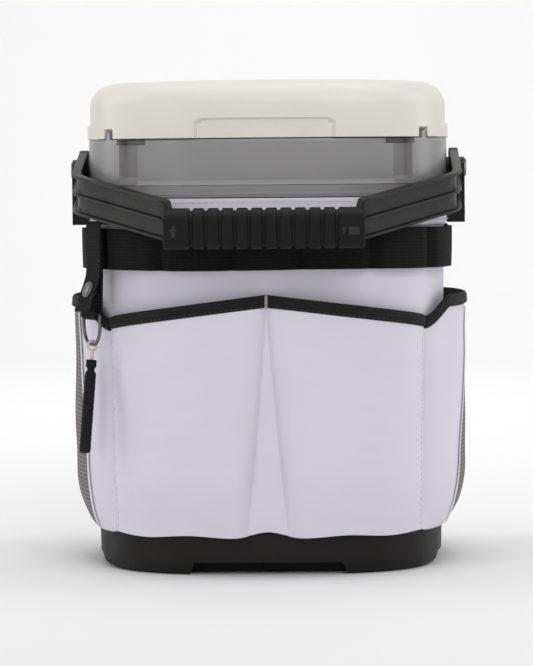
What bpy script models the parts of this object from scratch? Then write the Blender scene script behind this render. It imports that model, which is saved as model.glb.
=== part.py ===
"""Tool bucket organizer: a rounded-square bucket in a vinyl sleeve, with a moulded boot, a collar and
a hinged lid, a swinging bail with a ribbed grip, a band of webbing loops, outside pockets, and a strap
that carries a tape toggle.

Metres, +Z up. The bucket's front faces -Y. The origin is the middle of its underside, on its axis.
A bearing is an angle round the bucket: 0 faces front (-Y), 90 faces +X, 180 faces the back.
"""

import math

import bmesh
import bpy
from mathutils import Matrix, Vector

# ---- Driving dimensions --------------------------------------------------------------------------
SQUARENESS = 3.0  # exponent of the plan's superellipse: 2 is an ellipse, larger is squarer
LESS_DEEP = 0.008  # half depth is half width less this
PLAN_SIDES = 48

SKIN_GAP = 0.0003  # between pieces that touch
SEAM_GAP = 0.0009  # between the sleeve and what is sewn to it, more than the facets' sagitta

NOTCH_HEIGHT = 0.009  # finger notches under the middle of each side
NOTCH_HALF = 0.058
NOTCH_DEEP = 0.032
BOOT_FLOOR = 0.0034
TUB_LOW = 0.0124
BOOT_TOP = 0.032
BOOT_HALF = 0.1292
BOOT_WALL = 0.0029

SLEEVE_BOTTOM = BOOT_TOP + SKIN_GAP
SLEEVE_TOP = 0.2732
SLEEVE_HALF_LOW = 0.1287  # half width at the sleeve's bottom
SLEEVE_HALF_HIGH = 0.1330  # half width at the sleeve's top
SLEEVE_THICK = 0.0024
TUB_INSET = SLEEVE_THICK + 0.0004
TUB_WALL = 0.003
TUB_TOP = 0.2712

BINDING_LOW = 0.2525
BINDING_THICK = 0.0010

COLLAR_HALF = 0.1343
COLLAR_LOW = SLEEVE_TOP + 0.0008
COLLAR_TOP = 0.3160
COLLAR_BORE_HALF = 0.1200
PANEL_LOW = 0.2855  # lower edge of the collar's recessed front panel
PANEL_RECESS = 0.003
SLOT_RECESS = 0.0075
PANEL_BEARING = 40.7
POST_BEARING = 46.6  # the slots lie between the panel and the corner posts
TAB_BEARING = 52.2
TAB_RISE = 0.0045

LID_LOW = COLLAR_TOP + 0.0005
LID_TOP = 0.3610
LID_HALF = 0.1334
LID_WALL = 0.003
LID_LUG_HEIGHT = 0.0105
LID_LUG_LENGTH = 0.110
LID_LUG_PROUD = 0.0019
THUMB_HALF = 0.051
THUMB_TOP = 0.3305
THUMB_RECESS = 0.0024

HINGE_OUT = 0.1325  # hinge axis behind the bucket's axis
HINGE_Z = COLLAR_TOP + SKIN_GAP
HINGE_X = 0.055
KNUCKLE_RADIUS = 0.005
KNUCKLE_WIDTH = 0.010
PIN_RADIUS = 0.002
LID_SWING = 105

PIVOT_Z = 0.2940
BAIL_TILT = 12.5  # degrees below level when stowed at the front
BAIL_X = 0.1399  # middle of the side arms
BAIL_SIDE_REACH = 0.080
BAIL_REACH = 0.170
BAIL_SLOPE = 1.19  # reach gained per unit of width on the slanting arms
BAIL_WIDTH = 0.029
BAIL_THICK = 0.0068
BAIL_WEB = 0.003
BAIL_RIB = 0.0019
BAIL_BEND = 0.028
BAR_LOW = -0.0115  # the bar inside the grip, across the bail's plane
BAR_HIGH = 0.0050
BAR_HALF = 0.0665
HUB_RADIUS = 0.015
AXLE_RADIUS = 0.004

GRIP_HALF = 0.071
GRIP_NEAR = 0.162
GRIP_FAR = 0.185
GRIP_DROP = -0.004
GRIP_TALL = 0.027
GRIP_RIBS = 10
GRIP_PITCH = 0.01025
GRIP_GROOVE = 0.0025
GRIP_GROOVE_DEPTH = 0.0014

BRACKET_LOW = 0.2530
BRACKET_HIGH = 0.3020
BRACKET_HALF = 0.022
BRACKET_IN = 0.1347
PLATE_THICK = 0.0014
CHEEK_IN = 0.1438
CHEEK_OUT = 0.1476
STOP_TOP = 0.2700
SCREW_Z = 0.2610
SCREW_Y = 0.0130

WEBBING_LOW = 0.2215
WEBBING_HIGH = 0.2515
WEBBING_THICK = 0.0016
TACK_PITCH = 0.050
LOOP_GAP = 0.0062  # of the loops at the middle of the front and back
SMALL_LOOP_GAP = 0.0047  # of the loops round the corners

POCKET_LOW = 0.0292
POCKET_THICK = 0.0018
BINDING_TALL = 0.0085
BINDING_GRIP = 0.0030  # thickness of the folded binding
PANEL_POCKET_BEARING = 51.0
PANEL_BULGE = 0.0125
PANEL_MIDDLE_TOP = 0.1945
PANEL_END_TOP = 0.1780
SIDE_FIRST = 52.6
SIDE_LAST = 127.4
LEFT_SEAM = (62.0, 69.0)  # bearings of the seam between gusset and mesh, at its foot and its top
RIGHT_SEAM = (67.0, 83.0)
FLOOR_SHARE = 0.26  # of a side pocket's height, over which its floor runs out to the full bulge
SIDE_BULGE = 0.0165
SIDE_SEAM_TOP = 0.1765
SIDE_TOP = 0.1915

STRAP_BEARING = -54.0
STRAP_WIDTH = 0.022
STRAP_THICK = 0.0015
RING_WIRE = 0.0013
RING_HALF_WIDTH = 0.0132
RING_DROP = 0.0215
RING_OUT = 0.0142  # ring's middle, out from the sleeve
RING_TOP_Z = 0.1885
EYE_RADIUS = 0.0036
EYE_WIRE = 0.0009
TOGGLE_LEAN = 5.5  # degrees, foot outwards


# ---- The bucket's plan ---------------------------------------------------------------------------
def plan(bearing, half_width):
    """Point of the rounded-square plan at a bearing in degrees."""
    s, c = math.sin(math.radians(bearing)), math.cos(math.radians(bearing))
    half_depth = half_width - LESS_DEEP
    across = abs(s / half_width) ** SQUARENESS + abs(c / half_depth) ** SQUARENESS
    reach = across ** (-1 / SQUARENESS)
    return Vector((reach * s, -reach * c, 0))


def outward(bearing, half_width):
    """Unit normal of the plan at a bearing, pointing away from the axis."""
    p = plan(bearing, half_width)
    half_depth = half_width - LESS_DEEP
    power = SQUARENESS - 1
    x = math.copysign(abs(p.x / half_width) ** power / half_width, p.x)
    y = math.copysign(abs(p.y / half_depth) ** power / half_depth, p.y)
    return Vector((x, y, 0)).normalized()


def sleeve_half(z):
    """The sleeve's half width at a height: it tapers towards the boot."""
    share = (z - SLEEVE_BOTTOM) / (SLEEVE_TOP - SLEEVE_BOTTOM)
    return SLEEVE_HALF_LOW + (SLEEVE_HALF_HIGH - SLEEVE_HALF_LOW) * share


def on_sleeve(bearing, z, standoff):
    half = sleeve_half(z)
    return plan(bearing, half) + outward(bearing, half) * standoff + Vector((0, 0, z))


def bearing_at(arc, half_width):
    """Bearing of the point that lies this length along the plan from its front middle."""
    step, walked, bearing = 0.25, 0.0, 0.0
    previous = plan(0, half_width)
    while walked < abs(arc):
        bearing += step
        point = plan(bearing, half_width)
        walked += (point - previous).length
        previous = point
    return math.copysign(bearing, arc)


# ---- Making objects ------------------------------------------------------------------------------
def clear_scene():
    for obj in list(bpy.data.objects):
        bpy.data.objects.remove(obj)
    for name in ("tool_bucket_organizer", "cutters"):
        bpy.context.scene.collection.children.link(bpy.data.collections.new(name))


def empty(name, location, parent=None, tilt=0.0):
    obj = bpy.data.objects.new(name, None)
    obj.location = location
    obj.rotation_euler.x = math.radians(tilt)
    obj.parent = parent
    bpy.data.collections["tool_bucket_organizer"].objects.link(obj)
    return obj


def material(name, colour, roughness, metallic=0.0):
    made = bpy.data.materials.new(name)
    made.use_nodes = True
    shader = made.node_tree.nodes["Principled BSDF"]
    shader.inputs["Base Color"].default_value = (*colour, 1)
    shader.inputs["Roughness"].default_value = roughness
    shader.inputs["Metallic"].default_value = metallic
    made.diffuse_color = (*colour, 1)
    return made


def face_out(bm):
    """Turns a closed body's faces out, and an open surface's away from the bucket's axis."""
    bm.normal_update()
    bmesh.ops.recalc_face_normals(bm, faces=bm.faces)
    bm.normal_update()
    if all(edge.is_manifold for edge in bm.edges):
        outside = bm.calc_volume(signed=True)
    else:
        outside = sum(f.normal.xy.dot(f.calc_center_median().xy) * f.calc_area() for f in bm.faces)
    if outside < 0:
        bmesh.ops.reverse_faces(bm, faces=bm.faces)


def add(name, bm, parent, look=None, smooth=True):
    """An object from a bmesh. One with no look is a cutter."""
    face_out(bm)
    mesh = bpy.data.meshes.new(name)
    bm.to_mesh(mesh)
    bm.free()
    obj = bpy.data.objects.new(name, mesh)
    obj.parent = parent
    if look is None:
        obj.hide_render = True
        obj.display_type = "WIRE"
        bpy.data.collections["cutters"].objects.link(obj)
        return obj
    mesh.materials.append(look)
    if smooth:
        mesh.shade_smooth()
        mesh.set_sharp_from_angle(angle=math.radians(35))
    bpy.data.collections["tool_bucket_organizer"].objects.link(obj)
    return obj


def hang_on(obj, pivot):
    """Parents a piece modelled about the bucket's axis to a pivot that stands on a joint's axis."""
    obj.parent = pivot
    obj.location = -pivot.location
    return obj


def solidify(obj, thickness, side):
    """side -1 thickens inwards from the surface and 1 outwards."""
    modifier = obj.modifiers.new("wall", "SOLIDIFY")
    modifier.thickness = thickness
    modifier.offset = side
    modifier.use_even_offset = True
    return obj


def boolean(obj, other, operation="DIFFERENCE"):
    modifier = obj.modifiers.new(operation.lower(), "BOOLEAN")
    modifier.operation = operation
    modifier.object = other
    return obj


def bevel(obj, width, segments=2, angle=40):
    modifier = obj.modifiers.new("edges", "BEVEL")
    modifier.width = width
    modifier.segments = segments
    modifier.limit_method = "ANGLE"
    modifier.angle_limit = math.radians(angle)
    return obj


def set_level(verts, half_width, z):
    for vert in verts:
        bearing = math.degrees(math.atan2(vert.co.x, -vert.co.y))
        vert.co = plan(bearing, half_width) + Vector((0, 0, z))


def loft(levels, close_first=False, close_last=False):
    """Plan loops extruded one from the other; levels are (half width, z)."""
    bm = bmesh.new()
    bmesh.ops.create_circle(bm, segments=PLAN_SIDES, radius=1)
    edges = bm.edges[:]
    set_level(bm.verts, *levels[0])
    if close_first:
        bmesh.ops.contextual_create(bm, geom=edges)
    for level in levels[1:]:
        made = bmesh.ops.extrude_edge_only(bm, edges=edges)["geom"]
        edges = [g for g in made if isinstance(g, bmesh.types.BMEdge) and g.is_boundary]
        set_level([g for g in made if isinstance(g, bmesh.types.BMVert)], *level)
    if close_last:
        bmesh.ops.contextual_create(bm, geom=edges)
    return bm


def sheet(columns, rows, place):
    """A grid whose points go where place(u, v) says, u and v from 0 to 1."""
    bm = bmesh.new()
    bmesh.ops.create_grid(bm, x_segments=columns, y_segments=rows, size=1)
    for vert in bm.verts:
        vert.co = place((vert.co.x + 1) / 2, (vert.co.y + 1) / 2)
    return bm


def block(low, high):
    bm = bmesh.new()
    bmesh.ops.create_cube(bm, size=1)
    first, last = Vector(low), Vector(high)
    low = Vector(map(min, first, last))
    high = Vector(map(max, first, last))
    for vert in bm.verts:
        vert.co = (low + high) / 2 + vert.co * (high - low)
    return bm


def rod(radius, start, end, sides=20, far_radius=None):
    """A cylinder, or a cone with a far_radius, from start to end."""
    start, end = Vector(start), Vector(end)
    bm = bmesh.new()
    bmesh.ops.create_cone(
        bm,
        cap_ends=True,
        segments=sides,
        radius1=radius,
        radius2=radius if far_radius is None else far_radius,
        depth=(end - start).length,
    )
    turn = (end - start).to_track_quat("Z", "Y").to_matrix().to_4x4()
    bm.transform(Matrix.Translation((start + end) / 2) @ turn)
    return bm


def mesh_from_curve(curve_obj, name, parent, look=None):
    """A mesh object from a bevelled curve object, its caps welded."""
    bpy.context.view_layer.update()
    evaluated = curve_obj.evaluated_get(bpy.context.evaluated_depsgraph_get())
    made = bpy.data.meshes.new_from_object(evaluated)
    bm = bmesh.new()
    bm.from_mesh(made)
    bm.transform(curve_obj.matrix_world)
    bmesh.ops.remove_doubles(bm, verts=bm.verts, dist=0.00001)
    bpy.data.objects.remove(curve_obj)
    return add(name, bm, parent, look)


# ---- Boot, tub, sleeve, collar -------------------------------------------------------------------
def notch_block(bearing, grow):
    """The wedge of a finger notch under one side, grown all round to make its lining."""
    out = Vector((math.sin(math.radians(bearing)), -math.cos(math.radians(bearing)), 0))
    side = out.cross(Vector((0, 0, 1)))
    bm = block((-1, 0, -0.01), (1, 1, NOTCH_HEIGHT + grow))
    for vert in bm.verts:
        slant = 0.0035 if vert.co.z < 0 else -0.0015
        near, far = BOOT_HALF - NOTCH_DEEP - grow, BOOT_HALF + 0.01
        across = side * math.copysign(NOTCH_HALF + slant + grow, vert.co.x)
        vert.co = out * (far if vert.co.y > 0.5 else near) + across + Vector((0, 0, vert.co.z))
    return bm


def make_boot(root, look):
    """A thin-walled moulded tray with a finger notch in the underside of each of its four sides."""
    turn = [(BOOT_HALF - 0.0085, 0), (BOOT_HALF - 0.0040, 0.0013), (BOOT_HALF - 0.0014, 0.0046)]
    outer = turn + [(BOOT_HALF - 0.0005, 0.0095), (BOOT_HALF, BOOT_TOP)]
    boot = add("base_boot", loft(outer, True, True), root, look)
    inside = BOOT_HALF - BOOT_WALL
    hollow = [(inside - 0.0055, BOOT_FLOOR), (inside - 0.0005, 0.0110), (inside, BOOT_TOP + 0.01)]
    cavity = add("cut_boot_cavity", loft(hollow, True, True), root)
    for bearing in (0, 90, 180, 270):
        boolean(cavity, add(f"lining_{bearing}", notch_block(bearing,
            TUB_LOW - NOTCH_HEIGHT - SKIN_GAP), root))
    boolean(boot, cavity)
    for bearing in (0, 90, 180, 270):
        boolean(boot, add(f"cut_notch_{bearing}", notch_block(bearing, 0), root))
    return boot


def make_tub(root, look):
    low, high = TUB_LOW, TUB_TOP
    levels = [(sleeve_half(low) - TUB_INSET, low), (sleeve_half(high) - TUB_INSET, high)]
    return solidify(add("inner_tub", loft(levels, close_first=True), root, look), TUB_WALL, -1)


def make_sleeve(root, vinyl, tape):
    levels = [(SLEEVE_HALF_LOW, SLEEVE_BOTTOM), (SLEEVE_HALF_HIGH, SLEEVE_TOP)]
    sleeve = solidify(add("vinyl_sleeve", loft(levels), root, vinyl), SLEEVE_THICK, -1)
    ring = [(sleeve_half(z) + SKIN_GAP, z) for z in (BINDING_LOW, SLEEVE_TOP)]
    binding = solidify(add("sleeve_top_binding", loft(ring), root, tape), BINDING_THICK, 1)
    return sleeve, binding


def recess(name, root, first, last, low, high, depth):
    """A cutter for a recess in the collar's outer face, between two bearings."""
    def place(u, v):
        bearing = first + (last - first) * u
        standoff = outward(bearing, COLLAR_HALF) * -depth
        return plan(bearing, COLLAR_HALF) + standoff + Vector((0, 0, low + (high - low) * v))

    columns = max(2, round(abs(last - first) / 5))
    return solidify(add(name, sheet(columns, 1, place), root), depth + 0.004, 1)


def tab_block(bearing, low, high, half_low, half_high, near, far):
    """A tapered block across the collar's rim, from near to far inside its outer face."""
    bm = block((-1, -1, 0), (1, 1, 1))
    out, side = outward(bearing, COLLAR_HALF), outward(bearing, COLLAR_HALF).cross(Vector((0, 0, 1)))
    for vert in bm.verts:
        half = half_high if vert.co.z > 0.5 else half_low
        depth = near if vert.co.y > 0 else far
        z = high if vert.co.z > 0.5 else low
        along = side * math.copysign(half, vert.co.x)
        vert.co = plan(bearing, COLLAR_HALF) - out * depth + along + Vector((0, 0, z))
    return bm


def make_collar(root, look):
    """A ring with a recessed front panel, a slot beside each corner post, tabs and knuckles."""
    levels = [(COLLAR_HALF - 0.0008, COLLAR_LOW), (COLLAR_HALF, COLLAR_LOW + 0.0015),
        (COLLAR_HALF, COLLAR_TOP)]
    collar = add("rim_collar", loft(levels, True, True), root, look)
    bore = loft([(COLLAR_BORE_HALF, COLLAR_LOW - 0.01), (COLLAR_BORE_HALF, COLLAR_TOP + 0.01)], True, True)
    boolean(collar, add("cut_collar_bore", bore, root))
    over = COLLAR_TOP + 0.005
    panel = recess("cut_front_panel", root, -PANEL_BEARING, PANEL_BEARING, PANEL_LOW, over, PANEL_RECESS)
    boolean(collar, panel)
    for side, sign in (("left", -1), ("right", 1)):
        ends = (sign * (PANEL_BEARING - 0.4), sign * POST_BEARING)
        slot = recess(f"cut_slot_{side}", root, min(ends), max(ends), PANEL_LOW + 0.0035, 0.3125,
            SLOT_RECESS)
        boolean(collar, slot)
        ends = (sign * (PANEL_BEARING - 2.6), sign * (POST_BEARING + 1.0))
        notch = recess(f"cut_notch_{side}", root, min(ends), max(ends), 0.3122, over, SLOT_RECESS + 0.002)
        boolean(collar, notch)
        tab = tab_block(sign * TAB_BEARING, COLLAR_TOP - 0.003, COLLAR_TOP + TAB_RISE, 0.0036, 0.0022,
            0.0006, 0.0055)
        boolean(collar, add(f"join_tab_{side}", tab, root), "UNION")
        for step, edge in (("inner", -1), ("outer", 1)):
            x = sign * HINGE_X + edge * (KNUCKLE_WIDTH + SKIN_GAP)
            add_knuckle(collar, f"join_collar_knuckle_{side}_{step}", root, x, -1)
        axle = rod(AXLE_RADIUS + SKIN_GAP, (sign * 0.128, 0, PIVOT_Z), (sign * 0.140, 0, PIVOT_Z))
        boolean(collar, add(f"cut_axle_seat_{side}", axle, root))
    return collar


def add_knuckle(obj, name, root, x, below):
    """Joins a hinge knuckle centred at x to a piece. below is -1 for a web under the axis."""
    half = KNUCKLE_WIDTH / 2
    web_edge = HINGE_Z + below * 0.0005
    levels = sorted((web_edge, HINGE_Z + below * (KNUCKLE_RADIUS - 0.0003)))
    web = block((x - half, 0.1195, levels[0]), (x + half, HINGE_OUT, levels[1]))
    barrel = rod(KNUCKLE_RADIUS, (x - half, HINGE_OUT, HINGE_Z), (x + half, HINGE_OUT, HINGE_Z))
    boolean(obj, add(name + "_web", web, root), "UNION")
    boolean(obj, add(name + "_barrel", barrel, root), "UNION")
    reach = half + SKIN_GAP / 2
    hole = rod(PIN_RADIUS + SKIN_GAP, (x - reach, HINGE_OUT, HINGE_Z), (x + reach, HINGE_OUT, HINGE_Z))
    boolean(obj, add(name + "_hole", hole, root))


# ---- Lid -----------------------------------------------------------------------------------------
def make_lid(root, pivot, shell_look, liner_look, seal_look):
    crown = [(0.1330, 0.3450), (0.1315, 0.3505), (0.1272, 0.3555), (0.1180, 0.3588), (0.0800, 0.3605)]
    levels = [(LID_HALF, LID_LOW), (LID_HALF, 0.3380)] + crown + [(0.0300, LID_TOP)]
    shell = solidify(add("lid_shell", loft(levels, close_last=True), root, shell_look), LID_WALL, -1)
    deep = THUMB_RECESS + 0.0018
    pad = thumb_patch("join_thumb_pad", root, LID_LOW + 0.0002, THUMB_HALF + 0.003, THUMB_TOP + 0.003,
        deep, 0.0012)
    boolean(shell, pad, "UNION")
    cut = thumb_patch("cut_thumb_recess", root, LID_LOW - 0.01, THUMB_HALF, THUMB_TOP, THUMB_RECESS, -0.004)
    boolean(shell, cut)
    cutters = [pad, cut]
    for side, sign in (("left", -1), ("right", 1)):
        lug = block((0, -LID_LUG_LENGTH / 2, LID_LOW), (1, LID_LUG_LENGTH / 2, LID_LOW + LID_LUG_HEIGHT))
        for vert in lug.verts:
            slope = 0.0008 if vert.co.z > LID_LOW + 0.001 else 0
            vert.co.x = sign * (LID_HALF - 0.002 if vert.co.x < 0.5 else LID_HALF + LID_LUG_PROUD - slope)
        lug = add(f"join_lid_lug_{side}", lug, root)
        boolean(shell, lug, "UNION")
        notch = tab_block(sign * TAB_BEARING, LID_LOW - 0.003, COLLAR_TOP + TAB_RISE + 0.0016, 0.0062,
            0.0036, -0.004, 0.0085)
        notch = add(f"cut_tab_notch_{side}", notch, root)
        boolean(shell, notch)
        cutters += [lug, notch]
        add_knuckle(shell, f"join_lid_knuckle_{side}", root, sign * HINGE_X, 1)
    dish = [(0.1165, 0.3130), (0.1176, 0.3195), (0.1288, 0.3195)]
    liner = solidify(add("lid_liner", loft(dish, close_first=True), root, liner_look), 0.0020, -1)
    seal_in, seal_out, low, high = 0.1222, 0.1270, COLLAR_TOP + SKIN_GAP, 0.3192
    ring = [(seal_out, low), (seal_out, high)]
    seal = solidify(add("lid_gasket", loft(ring), root, seal_look), seal_out - seal_in, -1)
    for piece in (shell, liner, seal):
        hang_on(piece, pivot)
    for cutter in bpy.data.collections["cutters"].objects:
        if cutter in cutters or "lid_knuckle" in cutter.name:
            hang_on(cutter, pivot)
    return shell


def thumb_patch(name, root, low, half, high, inner, outer):
    """A patch of the lid's front wall with two rounded top corners, between two depths."""
    corner = 0.007

    def place(u, v):
        z = low + (high - low) * v
        over = max(0.0, z - (high - corner))
        edge = half - corner + math.sqrt(max(0.0, corner**2 - over**2))
        bearing = bearing_at((2 * u - 1) * edge, LID_HALF)
        return plan(bearing, LID_HALF) - outward(bearing, LID_HALF) * inner + Vector((0, 0, z))

    return solidify(add(name, sheet(10, 10, place), root), inner - outer, 1)


# ---- Bail and its brackets -----------------------------------------------------------------------
def bail_path():
    """Points of the stowed bail in its own plane, from the left hub round the front to the right hub."""
    half_bar = BAIL_X - (BAIL_REACH - BAIL_SIDE_REACH) / BAIL_SLOPE
    corners = [(-BAIL_X, 0), (-BAIL_X, -BAIL_SIDE_REACH), (-half_bar, -BAIL_REACH)]
    corners += [(-x, y) for x, y in reversed(corners)]
    points = [Vector((*corners[0], 0))]
    for before, corner, after in zip(corners, corners[1:], corners[2:]):
        before, corner, after = (Vector((*p, 0)) for p in (before, corner, after))
        away, onward = (before - corner).normalized(), (after - corner).normalized()
        turn = math.pi - away.angle(onward)
        cut = BAIL_BEND * math.tan(turn / 2)
        middle = corner + (away + onward).normalized() * (BAIL_BEND / math.cos(turn / 2))
        start = corner + away * cut
        spin = 1 if away.cross(onward).z < 0 else -1
        steps = 6
        for i in range(steps + 1):
            turned = Matrix.Rotation(spin * turn * i / steps, 3, "Z") @ (start - middle)
            points.append(middle + turned)
    points.append(Vector((*corners[-1], 0)))
    return points


def sweep(name, section, parent, look=None):
    """Sweeps a closed section along the bail's path. Its x points out of the bail, y across it."""
    outline = bpy.data.curves.new(name + "_section", "CURVE")
    spline = outline.splines.new("POLY")
    spline.points.add(len(section) - 1)
    for point, (x, y) in zip(spline.points, section):
        point.co = (x, y, 0, 1)
    spline.use_cyclic_u = True
    section_obj = bpy.data.objects.new(name + "_section", outline)
    bpy.data.collections["cutters"].objects.link(section_obj)
    path = bpy.data.curves.new(name + "_path", "CURVE")
    path.dimensions = "3D"
    path.twist_mode = "Z_UP"
    path.bevel_mode = "OBJECT"
    path.bevel_object = section_obj
    path.use_fill_caps = True
    points = bail_path()
    spline = path.splines.new("POLY")
    spline.points.add(len(points) - 1)
    for point, place in zip(spline.points, points):
        point.co = (*place, 1)
    path_obj = bpy.data.objects.new(name + "_path", path)
    bpy.data.collections["cutters"].objects.link(path_obj)
    made = mesh_from_curve(path_obj, name, parent, look)
    bpy.data.objects.remove(section_obj)
    return made


def rib_section():
    """Half the channel's depth inside and the rest as three ribs on the outer face."""
    inner, web, outer = -BAIL_THICK / 2, -BAIL_THICK / 2 + BAIL_WEB, BAIL_THICK / 2
    half, rib = BAIL_WIDTH / 2, BAIL_RIB
    steps = [(inner, -half), (outer, -half), (outer, -half + rib), (web, -half + rib)]
    steps += [(web, -rib / 2), (outer, -rib / 2), (outer, rib / 2), (web, rib / 2)]
    return steps + [(web, half - rib), (outer, half - rib), (outer, half), (inner, half)]


def make_bail(pivot, frame_look, grip_look):
    frame = sweep("bail_frame", rib_section(), pivot, frame_look)
    for side, sign in (("left", -1), ("right", 1)):
        face_in, face_out = sign * (BAIL_X - BAIL_THICK / 2), sign * (BAIL_X + BAIL_THICK / 2)
        hub = add(f"join_hub_{side}", rod(HUB_RADIUS, (face_in, 0, 0), (face_out, 0, 0), 32), pivot)
        boolean(frame, hub, "UNION")
        far = rod(AXLE_RADIUS + SKIN_GAP, (sign * 0.130, 0, 0), (sign * 0.150, 0, 0))
        boolean(frame, add(f"cut_hub_bore_{side}", far, pivot))
    for name, low, high in (("over", BAR_HIGH, 0.03), ("under", -0.03, BAR_LOW)):
        shoulder = block((-BAR_HALF, -0.2, low), (BAR_HALF, -0.12, high))
        boolean(frame, add(f"cut_bar_{name}", shoulder, pivot))

    grip = add("bail_grip", grip_solid(), pivot, grip_look)
    clear = SKIN_GAP
    out, low, high = BAIL_THICK / 2 + clear, BAR_LOW - clear, BAR_HIGH + clear
    channel = sweep("cut_grip_channel", [(-out, low), (out, low), (out, high), (-out, high)], pivot)
    boolean(grip, channel)
    tall = BAIL_WIDTH / 2 + clear
    mouth = sweep("cut_grip_mouths", [(-out, -tall), (out, -tall), (out, tall), (-out, tall)], pivot)
    middle = add("trim_grip_mouths", block((-BAR_HALF + 0.001, -0.25, -0.03), (BAR_HALF - 0.001, -0.1,
        0.03)), pivot)
    boolean(mouth, middle)
    boolean(grip, mouth)
    return frame, grip


def grip_section(shrink):
    """Rounded rectangle across the grip, as (y, z) in the bail's plane."""
    corner, half_y, half_z = 0.0065, (GRIP_FAR - GRIP_NEAR) / 2 - shrink, GRIP_TALL / 2 - shrink
    middle = Vector((0, -(GRIP_NEAR + GRIP_FAR) / 2, GRIP_DROP))
    points = []
    for quarter in range(4):
        for step in range(3):
            angle = math.radians(90 * quarter + 45 * step)
            y = math.copysign(half_y - corner, math.cos(math.radians(90 * quarter + 45)))
            z = math.copysign(half_z - corner, math.sin(math.radians(90 * quarter + 45)))
            points.append(middle + Vector((0, y + corner * math.cos(angle), z + corner * math.sin(angle))))
    return points


def grip_solid():
    """The grip: two plain ends and a run of ribs between them, extruded section by section."""
    stations = [(-GRIP_HALF, 0.0010), (-GRIP_HALF + 0.001, 0)]
    first = -GRIP_PITCH * GRIP_RIBS / 2 - GRIP_GROOVE / 2
    ease = 0.0006
    for rib in range(GRIP_RIBS + 1):
        start = first + GRIP_PITCH * rib
        stations += [(start, 0), (start + ease, GRIP_GROOVE_DEPTH)]
        stations += [(start + GRIP_GROOVE - ease, GRIP_GROOVE_DEPTH), (start + GRIP_GROOVE, 0)]
    stations += [(GRIP_HALF - 0.001, 0), (GRIP_HALF, 0.0010)]
    count = len(grip_section(0))
    bm = bmesh.new()
    ring = bmesh.ops.create_circle(bm, segments=count, radius=1)["verts"]
    edges = bm.edges[:]
    bmesh.ops.contextual_create(bm, geom=edges)
    for index, (x, shrink) in enumerate(stations):
        if index:
            made = bmesh.ops.extrude_edge_only(bm, edges=edges)["geom"]
            edges = [g for g in made if isinstance(g, bmesh.types.BMEdge) and g.is_boundary]
            fresh = {v for e in edges for v in e.verts}
            step = [next(e.other_vert(v) for e in v.link_edges if e.other_vert(v) in fresh) for v in ring]
            ring = step
        for vert, point in zip(ring, grip_section(shrink)):
            vert.co = Vector((x, 0, 0)) + point
    bmesh.ops.contextual_create(bm, geom=edges)
    return bm


def make_brackets(root, bracket_look, metal):
    """A clevis on each side: a back plate, a stop block, an outer cheek, an axle and screws."""
    for side, sign in (("left", -1), ("right", 1)):
        solid = block((sign * BRACKET_IN, -BRACKET_HALF, BRACKET_LOW),
            (sign * CHEEK_OUT, BRACKET_HALF, BRACKET_HIGH))
        high_edges = [e for e in solid.edges if all(v.co.z > BRACKET_HIGH - 0.001 for v in e.verts)]
        run = [e for e in high_edges if abs(e.verts[0].co.x - e.verts[1].co.x) > 0.005]
        bmesh.ops.bevel(solid, geom=run, offset=0.012, segments=5, profile=0.5, affect="EDGES")
        bracket = add(f"pivot_bracket_{side}", solid, root, bracket_look)
        slot_in, slot_out = BRACKET_IN + PLATE_THICK, CHEEK_IN
        slot = block((sign * slot_in, -0.04, STOP_TOP), (sign * slot_out, 0.04, 0.34))
        boolean(bracket, add(f"cut_clevis_{side}", slot, root))
        bore = rod(AXLE_RADIUS + SKIN_GAP, (sign * 0.130, 0, PIVOT_Z), (sign * 0.152, 0, PIVOT_Z))
        boolean(bracket, add(f"cut_bracket_bore_{side}", bore, root))
        for place, y in (("front", -SCREW_Y), ("rear", SCREW_Y)):
            hole = rod(0.0023, (sign * 0.120, y, SCREW_Z), (sign * 0.152, y, SCREW_Z), 16)
            hole = add(f"cut_screw_{side}_{place}", hole, root)
            for piece in ("vinyl_sleeve", "sleeve_top_binding", "inner_tub"):
                boolean(bpy.data.objects[piece], hole)
            boolean(bracket, hole)
            sink = rod(0.0047, (sign * (CHEEK_OUT - 0.0018), y, SCREW_Z), (sign * 0.152, y, SCREW_Z), 20)
            boolean(bracket, add(f"cut_screw_head_{side}_{place}", sink, root))
            shank = rod(0.0019, (sign * 0.1275, y, SCREW_Z), (sign * (CHEEK_OUT - 0.0008), y, SCREW_Z), 12)
            screw = add(f"bracket_screw_{side}_{place}", shank, root, metal)
            head = rod(0.0043, (sign * (CHEEK_OUT - 0.0015), y, SCREW_Z),
                (sign * (CHEEK_OUT + 0.0004), y, SCREW_Z), 20, 0.0036)
            boolean(screw, add(f"join_screw_head_{side}_{place}", head, root), "UNION")
        axle = add(f"bail_axle_{side}", rod(AXLE_RADIUS, (sign * 0.1290, 0, PIVOT_Z), (sign * 0.1484,
            0, PIVOT_Z)), root, metal)
        head = rod(0.0080, (sign * (CHEEK_OUT + SKIN_GAP), 0, PIVOT_Z), (sign * 0.1497, 0, PIVOT_Z),
            28, 0.0058)
        boolean(axle, add(f"join_axle_head_{side}", head, root), "UNION")


def make_hinge_pins(root, metal):
    reach = KNUCKLE_WIDTH * 1.5 + 0.0012
    for side, sign in (("left", -1), ("right", 1)):
        x = sign * HINGE_X
        add(f"hinge_pin_{side}", rod(PIN_RADIUS, (x - reach, HINGE_OUT, HINGE_Z), (x + reach,
            HINGE_OUT, HINGE_Z), 16), root, metal)


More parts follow.
